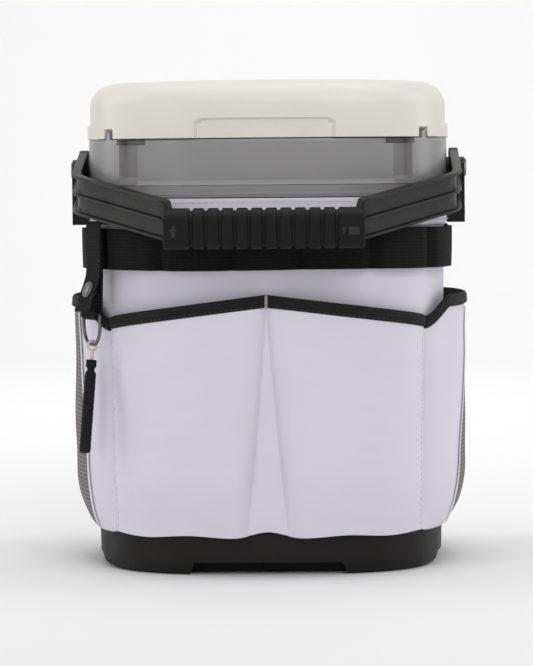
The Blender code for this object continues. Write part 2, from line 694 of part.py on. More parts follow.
# ---- Webbing and pockets -------------------------------------------------------------------------
def loop_gap(arc):
    """How far the webbing stands off the sleeve: flat-topped loops between the tacks."""
    number = round(arc / TACK_PITCH)
    if abs(arc) > TACK_PITCH * 3.5:
        return SEAM_GAP
    share = abs(arc - number * TACK_PITCH) / (TACK_PITCH / 2)
    wide = abs(number) <= 1 or number == -3
    gap = LOOP_GAP if wide else SMALL_LOOP_GAP
    return SEAM_GAP + gap * min(1.0, (1 - share**2) * 1.9)


def make_webbing(root, look):
    middle = (WEBBING_LOW + WEBBING_HIGH) / 2
    half_band = sleeve_half(middle)
    arcs = [TACK_PITCH * step / 8 for step in range(-28, 29)]
    side_arc = next(a / 1000 for a in range(150, 300) if bearing_at(a / 1000, half_band) >= 89.5)
    ends = [side_arc - 0.012, side_arc - 0.001]
    arcs = [-e for e in reversed(ends)] + arcs + ends
    bearings = [bearing_at(arc, half_band) for arc in arcs]
    for name, turn, mirrored in (("webbing_front", 0, False), ("webbing_rear", 180, True)):
        def place(u, v):
            index = round(u * (len(arcs) - 1))
            gap = loop_gap(-abs(arcs[index]) if not mirrored and arcs[index] < 0 else abs(arcs[index]))
            return on_sleeve(bearings[index] + turn, WEBBING_LOW + (WEBBING_HIGH - WEBBING_LOW) * v, gap)

        band = sheet(len(arcs) - 1, 1, place)
        solidify(add(name, band, root, look), WEBBING_THICK, 1)


def ease(share):
    share = min(1.0, max(0.0, share))
    return share * share * (3 - 2 * share)


def pouch(u, v, lobes):
    """Share of the full bulge at a point of a pocket: none at the seams, most in the middle."""
    across = abs(math.sin(math.pi * lobes * u)) ** 0.9
    if lobes == 2:
        return across * ease(v / 0.45 + 0.08) * (1 - 0.15 * v)
    floor = math.sin(math.pi / 2 * min(1.0, v / FLOOR_SHARE)) ** 0.5
    return across * floor * (1 - 0.15 * v)


def panel_top(u):
    return PANEL_MIDDLE_TOP + (PANEL_END_TOP - PANEL_MIDDLE_TOP) * abs(2 * u - 1) ** 1.2


def side_top(u):
    return SIDE_SEAM_TOP + (SIDE_TOP - SIDE_SEAM_TOP) * ease(min(u, 1 - u) / 0.16)


def make_pocket(name, root, look, first, last, columns, across, top, lobes, bulge, rows=6):
    """A pocket sheet. across(u, v) gives its place in the whole pouch, from first to last."""
    def place(u, v):
        up = v**2 if lobes == 1 else v
        share = across(u, up)
        z = POCKET_LOW + (top(share) - POCKET_LOW) * up
        return on_sleeve(first + (last - first) * share, z, SEAM_GAP + bulge * pouch(share, up, lobes))

    return solidify(add(name, sheet(columns, rows, place), root, look), POCKET_THICK, 1)


def make_pocket_binding(name, root, look, first, last, columns, top, lobes, bulge):
    """The folded binding on a pocket's mouth, which continues the pocket's top edge upwards."""
    def place(u, v):
        z = top(u) + 0.0007 + BINDING_TALL * v
        return on_sleeve(first + (last - first) * u, z, SEAM_GAP + bulge * pouch(u, 1, lobes))

    return solidify(add(name, sheet(columns, 1, place), root, look), BINDING_GRIP, 1)


def make_pockets(root, vinyl, net, tape):
    for name, turn in (("front", 0), ("rear", 180)):
        first, last = turn - PANEL_POCKET_BEARING, turn + PANEL_POCKET_BEARING
        make_pocket(f"{name}_pocket_panel", root, vinyl, first, last, 24, lambda u, v: u, panel_top, 2,
            PANEL_BULGE)
        make_pocket_binding(f"{name}_pocket_binding", root, tape, first, last, 24, panel_top, 2, PANEL_BULGE)
    span = SIDE_LAST - SIDE_FIRST
    slit = 0.3 / span  # the seam between vinyl and mesh, as a share of the pouch
    for name, sign, seam in (("left", -1, LEFT_SEAM), ("right", 1, RIGHT_SEAM)):
        first, last = sign * SIDE_FIRST, sign * SIDE_LAST
        low, high = ((bearing - SIDE_FIRST) / span for bearing in seam)

        def gusset(u, v, low=low, high=high):
            return (low + (high - low) * v) * u

        def mesh(u, v, low=low, high=high):
            start = low + (high - low) * v + slit
            return start + (1 - start) * u

        make_pocket(f"{name}_pocket_gusset", root, vinyl, first, last, 8, gusset, side_top, 1, SIDE_BULGE, 7)
        make_pocket(f"{name}_mesh_pocket", root, net, first, last, 12, mesh, side_top, 1, SIDE_BULGE, 7)
        make_pocket_binding(f"{name}_pocket_binding", root, tape, first, last, 20, side_top, 1, SIDE_BULGE)


# ---- Tape strap ----------------------------------------------------------------------------------
def strap_frame():
    """The foot of the strap's normal on the sleeve, that normal, and the level line across."""
    half = sleeve_half(WEBBING_LOW)
    out = outward(STRAP_BEARING, half)
    return plan(STRAP_BEARING, half), out, Vector((0, 0, 1)).cross(out)


def strap_strip(path):
    """A flat strip whose middle line follows (out from the sleeve, z) points."""
    foot, out, across = strap_frame()

    def place(u, v):
        standoff, z = path[round(v * (len(path) - 1))]
        return foot + out * standoff + across * (u - 0.5) * STRAP_WIDTH + Vector((0, 0, z))

    return sheet(1, len(path) - 1, place)


def strap_point(standoff, z):
    foot, out, _ = strap_frame()
    return foot + out * standoff + Vector((0, 0, z))


def make_strap(root, flap_pivot, ring_pivot, toggle_pivot, webbing, metal, cord, rubber):
    bar = RING_OUT
    bends = [math.radians(a) for a in range(180, 361, 30)]
    turn = [(bar + 0.0030 * math.cos(a), RING_TOP_Z + 0.0030 * math.sin(a)) for a in bends]
    inner = [(0.0105, WEBBING_HIGH - 0.0005), (0.0105, 0.2220), (0.0106, 0.2130), (0.0110, 0.2010)]
    inner += turn + [(bar + 0.0030, 0.1960)]
    tab = add("strap_inner", strap_strip(inner), root, webbing)
    solidify(tab, STRAP_THICK, 0)

    over = 0.0105 + STRAP_THICK + SKIN_GAP
    outer = [(0.0040, WEBBING_HIGH + 0.0030), (0.0070, WEBBING_HIGH + 0.0042), (over, WEBBING_HIGH + 0.0018)]
    outer += [(over + 0.0002, 0.2230), (0.0140, 0.2130), (0.0188, 0.2010), (0.0200, 0.1960),
        (0.0226, 0.1912)]
    flap = add("strap_flap", strap_strip(outer), root, webbing)
    solidify(flap, STRAP_THICK, 0)
    cap = add("snap_cap", snap_disc(outer[4], outer[5], 0.0062, 0.0016, 0.0042), root, metal)
    add("snap_stud", snap_disc(inner[2], inner[3], 0.0040, 0.0012, 0.0030), root, metal)

    _, out, across = strap_frame()
    ring_obj = wire_loop("strap_ring", d_ring_points(across), RING_WIRE, root, metal)

    hang = strap_point(RING_OUT, RING_TOP_Z - RING_DROP)
    drop = EYE_RADIUS - EYE_WIRE - RING_WIRE - 0.0004
    points = eye_ring(hang - Vector((0, 0, drop)), out, Vector((0, 0, 1)))
    eye_obj = wire_loop("toggle_eye", points, EYE_WIRE, root, cord)
    lean_turn = Matrix.Rotation(math.radians(TOGGLE_LEAN), 4, across)
    down = lean_turn @ Vector((0, 0, -1))
    if down.dot(out) < 0:
        down = Matrix.Rotation(-math.radians(TOGGLE_LEAN), 4, across) @ Vector((0, 0, -1))
    neck_top = hang - Vector((0, 0, drop + EYE_RADIUS))
    stem = rod(0.0013, neck_top, neck_top + down * 0.0062, 12)
    boolean(eye_obj, add("join_eye_stem", stem, root), "UNION")
    toggle = make_toggle(root, rubber, neck_top + down * 0.0065, down)

    hang_on(flap, flap_pivot)
    hang_on(cap, flap_pivot)
    hang_on(ring_obj, ring_pivot)
    for piece in (eye_obj, toggle, bpy.data.objects["join_eye_stem"]):
        piece.parent = toggle_pivot
        piece.location = -(ring_pivot.location + toggle_pivot.location)
    toggle.location += neck_top + down * 0.0065


def d_ring_points(across):
    """Middle line of the D-ring's wire: a straight bar in the strap's loop and a bow below it."""
    corner, bow = 0.0024, 18
    points = []
    for step in range(bow + 1):
        angle = math.pi * step / bow
        x = (RING_HALF_WIDTH - 0.0004) * math.copysign(abs(math.cos(angle)) ** 0.75, math.cos(angle))
        points.append((x, -corner - (RING_DROP - corner) * math.sin(angle) ** 0.85))
    points += [(-RING_HALF_WIDTH + 0.0010, -0.0006), (-RING_HALF_WIDTH + corner, 0)]
    points += [(RING_HALF_WIDTH - corner, 0), (RING_HALF_WIDTH - 0.0010, -0.0006)]
    return [strap_point(RING_OUT, RING_TOP_Z + z) + across * x for x, z in points]


def wire_loop(name, points, radius, parent, look):
    """A closed wire of round section along the points."""
    path = bpy.data.curves.new(name + "_path", "CURVE")
    path.dimensions = "3D"
    path.bevel_depth = radius
    path.bevel_resolution = 2
    spline = path.splines.new("POLY")
    spline.points.add(len(points) - 1)
    for point, place in zip(spline.points, points):
        point.co = (*place, 1)
    spline.use_cyclic_u = True
    path_obj = bpy.data.objects.new(name + "_path", path)
    bpy.data.collections["cutters"].objects.link(path_obj)
    return mesh_from_curve(path_obj, name, parent, look)


def eye_ring(centre, toward, up):
    """Points of the toggle's eye, a circle in the plane of the two directions."""
    turns = [2 * math.pi * step / 16 for step in range(16)]
    return [centre + (toward * math.cos(t) + up * math.sin(t)) * EYE_RADIUS for t in turns]


def make_toggle(root, look, top, down):
    """The tape toggle, a turned bar with a head and a neck, hung by its head."""
    profile = [(0.0, 0), (0.0033, 0), (0.0039, -0.0006), (0.0039, -0.0052), (0.0027, -0.0064),
        (0.0027, -0.0082),
               (0.0040, -0.0100), (0.0043, -0.0300), (0.0043, -0.0655), (0.0036, -0.0680), (0.0, -0.0686)]
    bm = bmesh.new()
    verts = [bm.verts.new((x, 0, z)) for x, z in profile]
    for first, second in zip(verts, verts[1:]):
        bm.edges.new((first, second))
    toggle = add("tape_toggle", bm, root, look)
    screw = toggle.modifiers.new("turn", "SCREW")
    screw.axis = "Z"
    screw.steps = screw.render_steps = 20
    screw.use_merge_vertices = True
    screw.merge_threshold = 0.00005
    toggle.rotation_euler = (-down).to_track_quat("Z", "Y").to_euler()
    return toggle


def snap_disc(upper, lower, radius, height, top_radius):
    """Half of the press stud, on the outer face of the strap's run between two (out, z) points."""
    run = strap_point(*lower) - strap_point(*upper)
    _, out, across = strap_frame()
    facing = across.cross(run).normalized()
    if facing.dot(out) < 0:
        facing = -facing
    start = strap_point(*upper) + run / 2 + facing * (STRAP_THICK / 2 + SKIN_GAP)
    return rod(radius, start, start + facing * height, 20, top_radius)


# ---- The whole -----------------------------------------------------------------------------------
def main():
    clear_scene()
    vinyl = material("white_vinyl", (0.80, 0.79, 0.83), 0.42)
    white_tape = material("white_tape", (0.78, 0.77, 0.82), 0.75)
    lid_white = material("lid_white", (0.80, 0.78, 0.74), 0.40)
    grey = material("grey_plastic", (0.25, 0.24, 0.25), 0.38)
    black = material("black_plastic", (0.020, 0.018, 0.016), 0.36)
    boot_black = material("boot_black", (0.022, 0.020, 0.019), 0.50)
    grip_black = material("grip_rubber", (0.018, 0.018, 0.019), 0.62)
    webbing = material("black_webbing", (0.012, 0.011, 0.011), 0.80)
    net = material("pocket_mesh", (0.10, 0.085, 0.080), 0.70)
    steel = material("dark_steel", (0.10, 0.10, 0.10), 0.35, 1.0)
    seal = material("seal_rubber", (0.03, 0.03, 0.03), 0.70)
    cord = material("link_nylon", (0.62, 0.55, 0.52), 0.50)

    root = empty("bucket_axis", (0, 0, 0))
    lid_pivot = empty("lid_pivot", (0, HINGE_OUT, HINGE_Z), root)
    bail_pivot = empty("bail_pivot", (0, 0, PIVOT_Z), root, BAIL_TILT)
    flap_pivot = empty("flap_pivot", strap_point(0.0070, WEBBING_HIGH + 0.0042), root)
    ring_pivot = empty("ring_pivot", strap_point(RING_OUT, RING_TOP_Z), root)
    toggle_drop = Vector((0, 0, -RING_DROP))
    toggle_pivot = empty("toggle_pivot", toggle_drop, ring_pivot)

    make_boot(root, boot_black)
    make_tub(root, grey)
    make_sleeve(root, vinyl, white_tape)
    make_collar(root, grey)
    make_lid(root, lid_pivot, lid_white, grey, seal)
    make_hinge_pins(root, steel)
    make_bail(bail_pivot, black, grip_black)
    make_brackets(root, black, steel)
    make_webbing(root, webbing)
    make_pockets(root, vinyl, net, webbing)
    make_strap(root, flap_pivot, ring_pivot, toggle_pivot, webbing, steel, cord, boot_black)


main()
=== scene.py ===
"""Looks of the tool bucket organizer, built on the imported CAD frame.

Metres, +Z up, and the bucket's front faces -Y.
"""

import math

import bmesh
import bpy
import numpy as np
from mathutils import Matrix, Vector, noise


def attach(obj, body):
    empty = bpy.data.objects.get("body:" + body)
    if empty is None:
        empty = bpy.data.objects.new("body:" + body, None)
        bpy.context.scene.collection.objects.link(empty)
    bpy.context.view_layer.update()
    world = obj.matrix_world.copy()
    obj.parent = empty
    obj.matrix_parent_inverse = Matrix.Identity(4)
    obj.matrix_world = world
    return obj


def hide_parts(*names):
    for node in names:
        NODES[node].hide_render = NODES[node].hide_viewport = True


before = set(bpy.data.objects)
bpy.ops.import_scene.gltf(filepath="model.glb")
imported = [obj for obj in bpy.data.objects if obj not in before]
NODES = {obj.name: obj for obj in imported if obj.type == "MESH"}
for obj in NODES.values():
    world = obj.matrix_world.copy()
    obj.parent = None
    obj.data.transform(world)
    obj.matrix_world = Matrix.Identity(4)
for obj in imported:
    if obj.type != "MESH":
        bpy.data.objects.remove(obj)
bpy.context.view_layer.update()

SQUARE, LESS_DEEP = 3.0, 0.008  # the plan's exponent, and how much less deep than wide it is
SLEEVE_LOW, SLEEVE_HIGH = 0.0323, 0.2732
COLLAR_HALF, LID_HALF = 0.1343, 0.1334
HINGE_X, HINGE_Y, HINGE_Z = 0.055, 0.1325, 0.3163
TAB_BEARING = 52.2
RAD = math.radians


# ---- The plan and the sleeve ----
def plan(bearing, half):
    s, c = math.sin(RAD(bearing)), math.cos(RAD(bearing))
    reach = (abs(s / half) ** SQUARE + abs(c / (half - LESS_DEEP)) ** SQUARE) ** (-1 / SQUARE)
    return Vector((reach * s, -reach * c, 0))


def outward(bearing, half):
    p = plan(bearing, half)
    x = math.copysign(abs(p.x / half) ** (SQUARE - 1) / half, p.x)
    deep = half - LESS_DEEP
    y = math.copysign(abs(p.y / deep) ** (SQUARE - 1) / deep, p.y)
    return Vector((x, y, 0)).normalized()


def sleeve_half(z):
    return 0.1287 + (0.1330 - 0.1287) * (z - SLEEVE_LOW) / (SLEEVE_HIGH - SLEEVE_LOW)


def on_sleeve(bearing, z, off):
    half = sleeve_half(z)
    return plan(bearing, half) + outward(bearing, half) * off + Vector((0, 0, z))


ARC_STEP = 0.25
ARCS = {}


def arc_table(half):
    if half not in ARCS:
        table, last, walked = [0.0], plan(0, half), 0.0
        for i in range(1, int(200 / ARC_STEP)):
            here = plan(i * ARC_STEP, half)
            walked += (here - last).length
            table.append(walked)
            last = here
        ARCS[half] = table
    return ARCS[half]


def bearing_at(arc, half):
    table = arc_table(half)
    found = float(np.interp(abs(arc), table, np.arange(len(table)) * ARC_STEP))
    return math.copysign(found, arc)


def ease(t):
    t = min(1.0, max(0.0, t))
    return t * t * (3 - 2 * t)


def wob(x, y, z, scale, seed=0.0):
    return noise.noise(Vector((x * scale + seed, y * scale - seed, z * scale + 2 * seed)))


# ---- Mesh helpers ----
def obj_from(name, verts, faces, uvs=None, smooth=30):
    mesh = bpy.data.meshes.new(name)
    mesh.from_pydata([tuple(v) for v in verts], [], faces)
    if uvs is not None:
        layer = mesh.uv_layers.new(name="UVMap")
        for loop in mesh.loops:
            layer.data[loop.index].uv = uvs[loop.vertex_index]
    mesh.update()
    mesh.shade_smooth()
    if smooth:
        mesh.set_sharp_from_angle(angle=RAD(smooth))
    obj = bpy.data.objects.new(name, mesh)
    bpy.context.scene.collection.objects.link(obj)
    return obj


def surface(name, us, vs, place, closed=False, smooth=30):
    """A sheet over two lists of parameters. UVs are lengths along it in metres."""
    pts = [[place(u, v) for u in us] for v in vs]
    nu, nv = len(us), len(vs)
    verts = [p for row in pts for p in row]
    mid = pts[nv // 2]
    ulen = [0.0]
    for i in range(1, nu):
        ulen.append(ulen[-1] + (mid[i] - mid[i - 1]).length)
    vlen = [0.0]
    for j in range(1, nv):
        vlen.append(vlen[-1] + (pts[j][nu // 2] - pts[j - 1][nu // 2]).length)
    uvs = [(ulen[i], vlen[j]) for j in range(nv) for i in range(nu)]
    faces = []
    for j in range(nv - 1):
        for i in range(nu if closed else nu - 1):
            k = (i + 1) % nu
            faces.append((j * nu + i, j * nu + k, (j + 1) * nu + k, (j + 1) * nu + i))
    return obj_from(name, verts, faces, uvs, smooth)


def outwards(obj):
    """Turns an open sheet's faces away from the bucket's axis."""
    total = sum(p.normal.x * p.center.x + p.normal.y * p.center.y for p in obj.data.polygons)
    if total < 0:
        obj.data.flip_normals()
    return obj


def thicken(obj, thick, side=1, edge=0.0, segments=2):
    m = obj.modifiers.new("wall", "SOLIDIFY")
    m.thickness = thick
    m.offset = side
    m.use_even_offset = True
    if edge:
        b = obj.modifiers.new("edges", "BEVEL")
        b.width = edge
        b.segments = segments
        b.limit_method = "ANGLE"
        b.angle_limit = RAD(50)
    return obj


def done(obj, body, look, slot, *nodes):
    """Rides, material and the CAD nodes that it stands for; the slot argument is not used."""
    if look is not None:
        obj.data.materials.clear()
        obj.data.materials.append(look)
    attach(obj, body)
    if nodes:
        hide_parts(*nodes)
    return obj


def span(a, b, n):
    return [a + (b - a) * i / (n - 1) for i in range(n)]


def box_bm(bm, centre, size, turn=None, bevel=0.0006):
    made = bmesh.ops.create_cube(bm, size=1)["verts"]
    for v in made:
        v.co = Vector((v.co.x * size[0], v.co.y * size[1], v.co.z * size[2]))
    edges = list({e for v in made for e in v.link_edges})
    out = bmesh.ops.bevel(bm, geom=edges, offset=bevel, segments=2, profile=0.6, affect="EDGES")
    verts = list({v for f in out["faces"] for v in f.verts} | {v for v in made if v.is_valid})
    matrix = Matrix.Translation(centre) @ (turn.to_4x4() if turn else Matrix.Identity(4))
    bmesh.ops.transform(bm, matrix=matrix, verts=verts)


def face_outwards(obj):
    """Makes a closed mesh's faces agree and point out."""
    bm = bmesh.new()
    bm.from_mesh(obj.data)
    bmesh.ops.recalc_face_normals(bm, faces=bm.faces)
    bm.to_mesh(obj.data)
    bm.free()


def finish_bm(name, bm, smooth=35):
    mesh = bpy.data.meshes.new(name)
    bmesh.ops.recalc_face_normals(bm, faces=bm.faces)
    bm.to_mesh(mesh)
    bm.free()
    mesh.shade_smooth()
    mesh.set_sharp_from_angle(angle=RAD(smooth))
    obj = bpy.data.objects.new(name, mesh)
    bpy.context.scene.collection.objects.link(obj)
    return obj


def stitches(name, points, normals, length=0.0032, gap=0.0013, wide=0.00062, high=0.00045):
    """Thread stitches laid along a line: short rounded bars that dip into the cloth at both ends."""
    line = [Vector(p) for p in points]
    total = [0.0]
    for a, b in zip(line, line[1:]):
        total.append(total[-1] + (b - a).length)
    xs = np.array([list(p) for p in line])
    ns = np.array([list(n) for n in normals])
    verts, faces = [], []
    at = gap / 2
    while at + length < total[-1]:
        base = len(verts)
        for k in range(5):
            s = at + length * k / 4
            p = Vector([np.interp(s, total, xs[:, c]) for c in range(3)])
            q = Vector([np.interp(min(s + 1e-4, total[-1]), total, xs[:, c]) for c in range(3)])
            n = Vector([np.interp(s, total, ns[:, c]) for c in range(3)]).normalized()
            t = (q - p).normalized() if (q - p).length > 0 else Vector((1, 0, 0))
            side = t.cross(n).normalized()
            fat = (0.35, 0.9, 1.0, 0.9, 0.35)[k]
            lift = (-0.35, 0.35, 0.6, 0.35, -0.35)[k] * high
            for a in range(6):
                ang = a * math.pi / 3
                rise = n * (lift + high * fat * math.sin(ang))
                verts.append(p + rise + side * wide / 2 * fat * math.cos(ang))
        for k in range(4):
            for a in range(6):
                b = (a + 1) % 6
                faces.append((base + k * 6 + a, base + k * 6 + b, base + k * 6 + 6 + b,
                    base + k * 6 + 6 + a))
        faces.append(tuple(base + a for a in reversed(range(6))))
        faces.append(tuple(base + 24 + a for a in range(6)))
        at += length + gap
    obj = obj_from(name, verts, faces, None, 60)
    face_outwards(obj)
    return obj


# ---- Materials ----
class Look:
    """A Principled material with short calls for its nodes."""

    def __init__(self, name, colour, rough, metal=0.0, spec=0.5):
        self.m = bpy.data.materials.new(name)
        self.m.use_nodes = True
        self.t = self.m.node_tree
        self.b = self.t.nodes["Principled BSDF"]
        self.b.inputs["Base Color"].default_value = (*colour, 1)
        self.b.inputs["Roughness"].default_value = rough
        self.b.inputs["Metallic"].default_value = metal
        self.b.inputs["Specular IOR Level"].default_value = spec
        self.colour = colour
        self.height = None

    def node(self, kind, **inputs):
        n = self.t.nodes.new(kind)
        for k, v in inputs.items():
            key = k.replace("_", " ")
            if key in n.inputs:
                n.inputs[key].default_value = v
            else:
                setattr(n, k, v)
        return n

    def link(self, a, b):
        self.t.links.new(a, b)

    def coords(self, uv=False, scale=(1, 1, 1)):
        c = self.node("ShaderNodeTexCoord")
        m = self.node("ShaderNodeMapping")
        m.inputs["Scale"].default_value = scale
        self.link(c.outputs["UV" if uv else "Object"], m.inputs["Vector"])
        return m.outputs["Vector"]

    def noise(self, scale, detail=3.0, rough=0.55, at=None):
        n = self.node("ShaderNodeTexNoise", Scale=scale, Detail=detail, Roughness=rough)
        self.link(at or self.coords(), n.inputs["Vector"])
        return n.outputs["Fac"]

    def span(self, fac, low, high, a=0.3, b=0.7):
        r = self.node("ShaderNodeMapRange")
        r.inputs["From Min"].default_value = a
        r.inputs["From Max"].default_value = b
        r.inputs["To Min"].default_value = low
        r.inputs["To Max"].default_value = high
        self.link(fac, r.inputs["Value"])
        return r.outputs["Result"]

    def vary_rough(self, fac, low, high):
        self.link(self.span(fac, low, high), self.b.inputs["Roughness"])

    def mix(self, fac, a, b, mode="MIX"):
        m = self.node("ShaderNodeMix", data_type="RGBA", blend_type=mode)
        for value, socket in ((a, m.inputs[6]), (b, m.inputs[7])):
            if isinstance(value, tuple):
                socket.default_value = (*value, 1)
            else:
                self.link(value, socket)
        if isinstance(fac, float):
            m.inputs[0].default_value = fac
        else:
            self.link(fac, m.inputs[0])
        return m.outputs[2]

    def colour_by(self, fac, a, b):
        out = self.mix(fac, a, b)
        self.link(out, self.b.inputs["Base Color"])
        return out

    def bump(self, fac, distance, strength=1.0):
        n = self.node("ShaderNodeBump", Strength=strength, Distance=distance)
        self.link(fac, n.inputs["Height"])
        if self.height is not None:
            self.link(self.height, n.inputs["Normal"])
        self.height = n.outputs["Normal"]
        self.link(self.height, self.b.inputs["Normal"])

    def math(self, op, a, b=None):
        n = self.node("ShaderNodeMath", operation=op)
        for i, value in enumerate((a, b)):
            if value is None:
                continue
            if isinstance(value, (int, float)):
                n.inputs[i].default_value = value
            else:
                self.link(value, n.inputs[i])
        return n.outputs[0]


def vinyl_look(name, colour):
    k = Look(name, colour, 0.42, spec=0.42)
    broad = k.noise(9, 3)
    fine = k.noise(260, 4, 0.65)
    k.colour_by(k.span(broad, 0, 1), tuple(c * 0.965 for c in colour), colour)
    k.vary_rough(broad, 0.36, 0.5)
    k.bump(k.noise(28, 2), 0.0022, 0.22)
    k.bump(fine, 0.00035, 0.35)
    k.b.inputs["Sheen Weight"].default_value = 0.08
    return k.m


def plastic_look(name, colour, rough, grain=420, depth=0.00022, wear=0.93, spec=0.5):
    k = Look(name, colour, rough, spec=spec)
    broad = k.noise(14, 4)
    k.colour_by(k.span(broad, 0, 1), tuple(c * wear for c in colour),
        tuple(min(1, c * 1.03) for c in colour))
    k.vary_rough(k.noise(35, 5, 0.6), rough - 0.06, rough + 0.07)
    k.bump(k.noise(grain, 3, 0.6), depth, 0.5)
    return k.m


def webbing_look(name, colour, light, sheen=0.25, spec=0.3):
    """Woven ribs along the band and a finer diagonal thread across them."""
    k = Look(name, colour, 0.78, spec=spec)
    uv = k.coords(uv=True)
    across = k.node("ShaderNodeTexWave", Scale=245.0, Distortion=0.6, Detail=1.0)
    across.bands_direction = "X"
    k.link(uv, across.inputs["Vector"])
    along = k.node("ShaderNodeTexWave", Scale=130.0, Distortion=0.4, Detail=1.0)
    along.bands_direction = "Y"
    k.link(uv, along.inputs["Vector"])
    weave = k.math("MULTIPLY", across.outputs["Fac"], along.outputs["Fac"])
    k.colour_by(k.math("ADD", k.math("MULTIPLY", weave, 0.8),
        k.math("MULTIPLY", k.noise(60), 0.25)), colour, light)
    k.bump(weave, 0.0006, 0.8)
    k.b.inputs["Sheen Weight"].default_value = sheen
    return k.m


def mesh_look(name):
    """Open knit: light threads round staggered holes, which are painted near black as painted shade of the
    pocket's inside seen through them.
    """
    k = Look(name, (0.21, 0.18, 0.165), 0.62)
    uv = k.coords(uv=True, scale=(330, 330, 330))
    sep = k.node("ShaderNodeSeparateXYZ")
    k.link(uv, sep.inputs[0])
    row = k.math("FLOOR", sep.outputs[1])
    shift = k.math("MULTIPLY", k.math("MODULO", row, 2.0), 0.5)
    fx = k.math("SUBTRACT", k.math("FRACT", k.math("ADD", sep.outputs[0], shift)), 0.5)
    fy = k.math("SUBTRACT", k.math("FRACT", sep.outputs[1]), 0.5)
    d = k.math("ADD", k.math("MULTIPLY", fx, fx), k.math("MULTIPLY", k.math("MULTIPLY", fy, fy), 1.25))
    hole = k.span(d, 1.0, 0.0, 0.06, 0.12)
    thread = k.mix(k.span(k.noise(900, 2), 0, 1), (0.15, 0.130, 0.121), (0.25, 0.225, 0.212))
    # painted shade: the holes get a near-black colour in place of a see-through gap onto the shaded inside
    # of the pocket
    col = k.mix(hole, thread, (0.035, 0.029, 0.027))
    k.link(col, k.b.inputs["Base Color"])
    k.bump(k.math("SUBTRACT", 1.0, hole), 0.0007, 0.9)
    return k.m


def metal_look(name, colour, rough):
    k = Look(name, colour, rough, 1.0)
    k.vary_rough(k.noise(160, 4), rough - 0.08, rough + 0.12)
    k.bump(k.noise(700, 3), 0.0001, 0.4)
    return k.m


VINYL = vinyl_look("coated_vinyl", (0.70, 0.675, 0.755))
THREAD = plastic_look("thread", (0.74, 0.72, 0.76), 0.7, 900, 0.0001)
TACK = plastic_look("tack_thread", (0.62, 0.58, 0.54), 0.72, 900, 0.0002)
DARK_THREAD = plastic_look("dark_thread", (0.035, 0.033, 0.033), 0.6, 900, 0.0001)
LID = plastic_look("lid_plastic", (0.76, 0.725, 0.675), 0.40, 380, 0.00018, 0.975)
COLLAR = plastic_look("collar_plastic", (0.285, 0.278, 0.278), 0.34, 380, 0.00018, 0.95)
BLACK = plastic_look("bail_plastic", (0.013, 0.0118, 0.011), 0.36, 300, 0.00025, 0.85, 0.22)
GRIP = plastic_look("grip_rubber_look", (0.0082, 0.0082, 0.0088), 0.60, 520, 0.0004, 0.85, 0.16)
BOOT = plastic_look("boot_plastic", (0.0120, 0.0105, 0.0098), 0.52, 260, 0.0005, 0.8, 0.2)
WEB = webbing_look("black_webbing", (0.0045, 0.0042, 0.0042), (0.011, 0.0102, 0.0102), 0.02, 0.12)
BIND = webbing_look("black_binding", (0.008, 0.0075, 0.0075), (0.020, 0.019, 0.019), 0.04, 0.18)
NET = mesh_look("pocket_knit")
STEEL = metal_look("dark_nickel", (0.16, 0.155, 0.15), 0.30)
BRIGHT = metal_look("screw_steel", (0.30, 0.30, 0.31), 0.32)
LINK = plastic_look("link_plastic", (0.62, 0.52, 0.46), 0.45, 500, 0.0002)
SEAL = plastic_look("seal_rubber_look", (0.02, 0.02, 0.02), 0.68, 500, 0.0003)
ICON = plastic_look("icon_face", (0.007, 0.007, 0.008), 0.5, 500, 0.0002)

for node_name, look in {
    "inner_tub": COLLAR, "lid_liner": COLLAR, "lid_gasket": SEAL, "hinge_pin_left": BRIGHT,
    "hinge_pin_right": BRIGHT, "bail_axle_left": STEEL, "bail_axle_right": STEEL,
    "bracket_screw_left_front": BRIGHT, "bracket_screw_left_rear": BRIGHT,
    "bracket_screw_right_front": BRIGHT, "bracket_screw_right_rear": BRIGHT,
    "pivot_bracket_left": BLACK, "pivot_bracket_right": BLACK, "snap_stud": STEEL,
}.items():
    mesh = NODES[node_name].data
    if mesh.materials:
        for i in range(len(mesh.materials)):
            mesh.materials[i] = look
    else:
        mesh.materials.append(look)


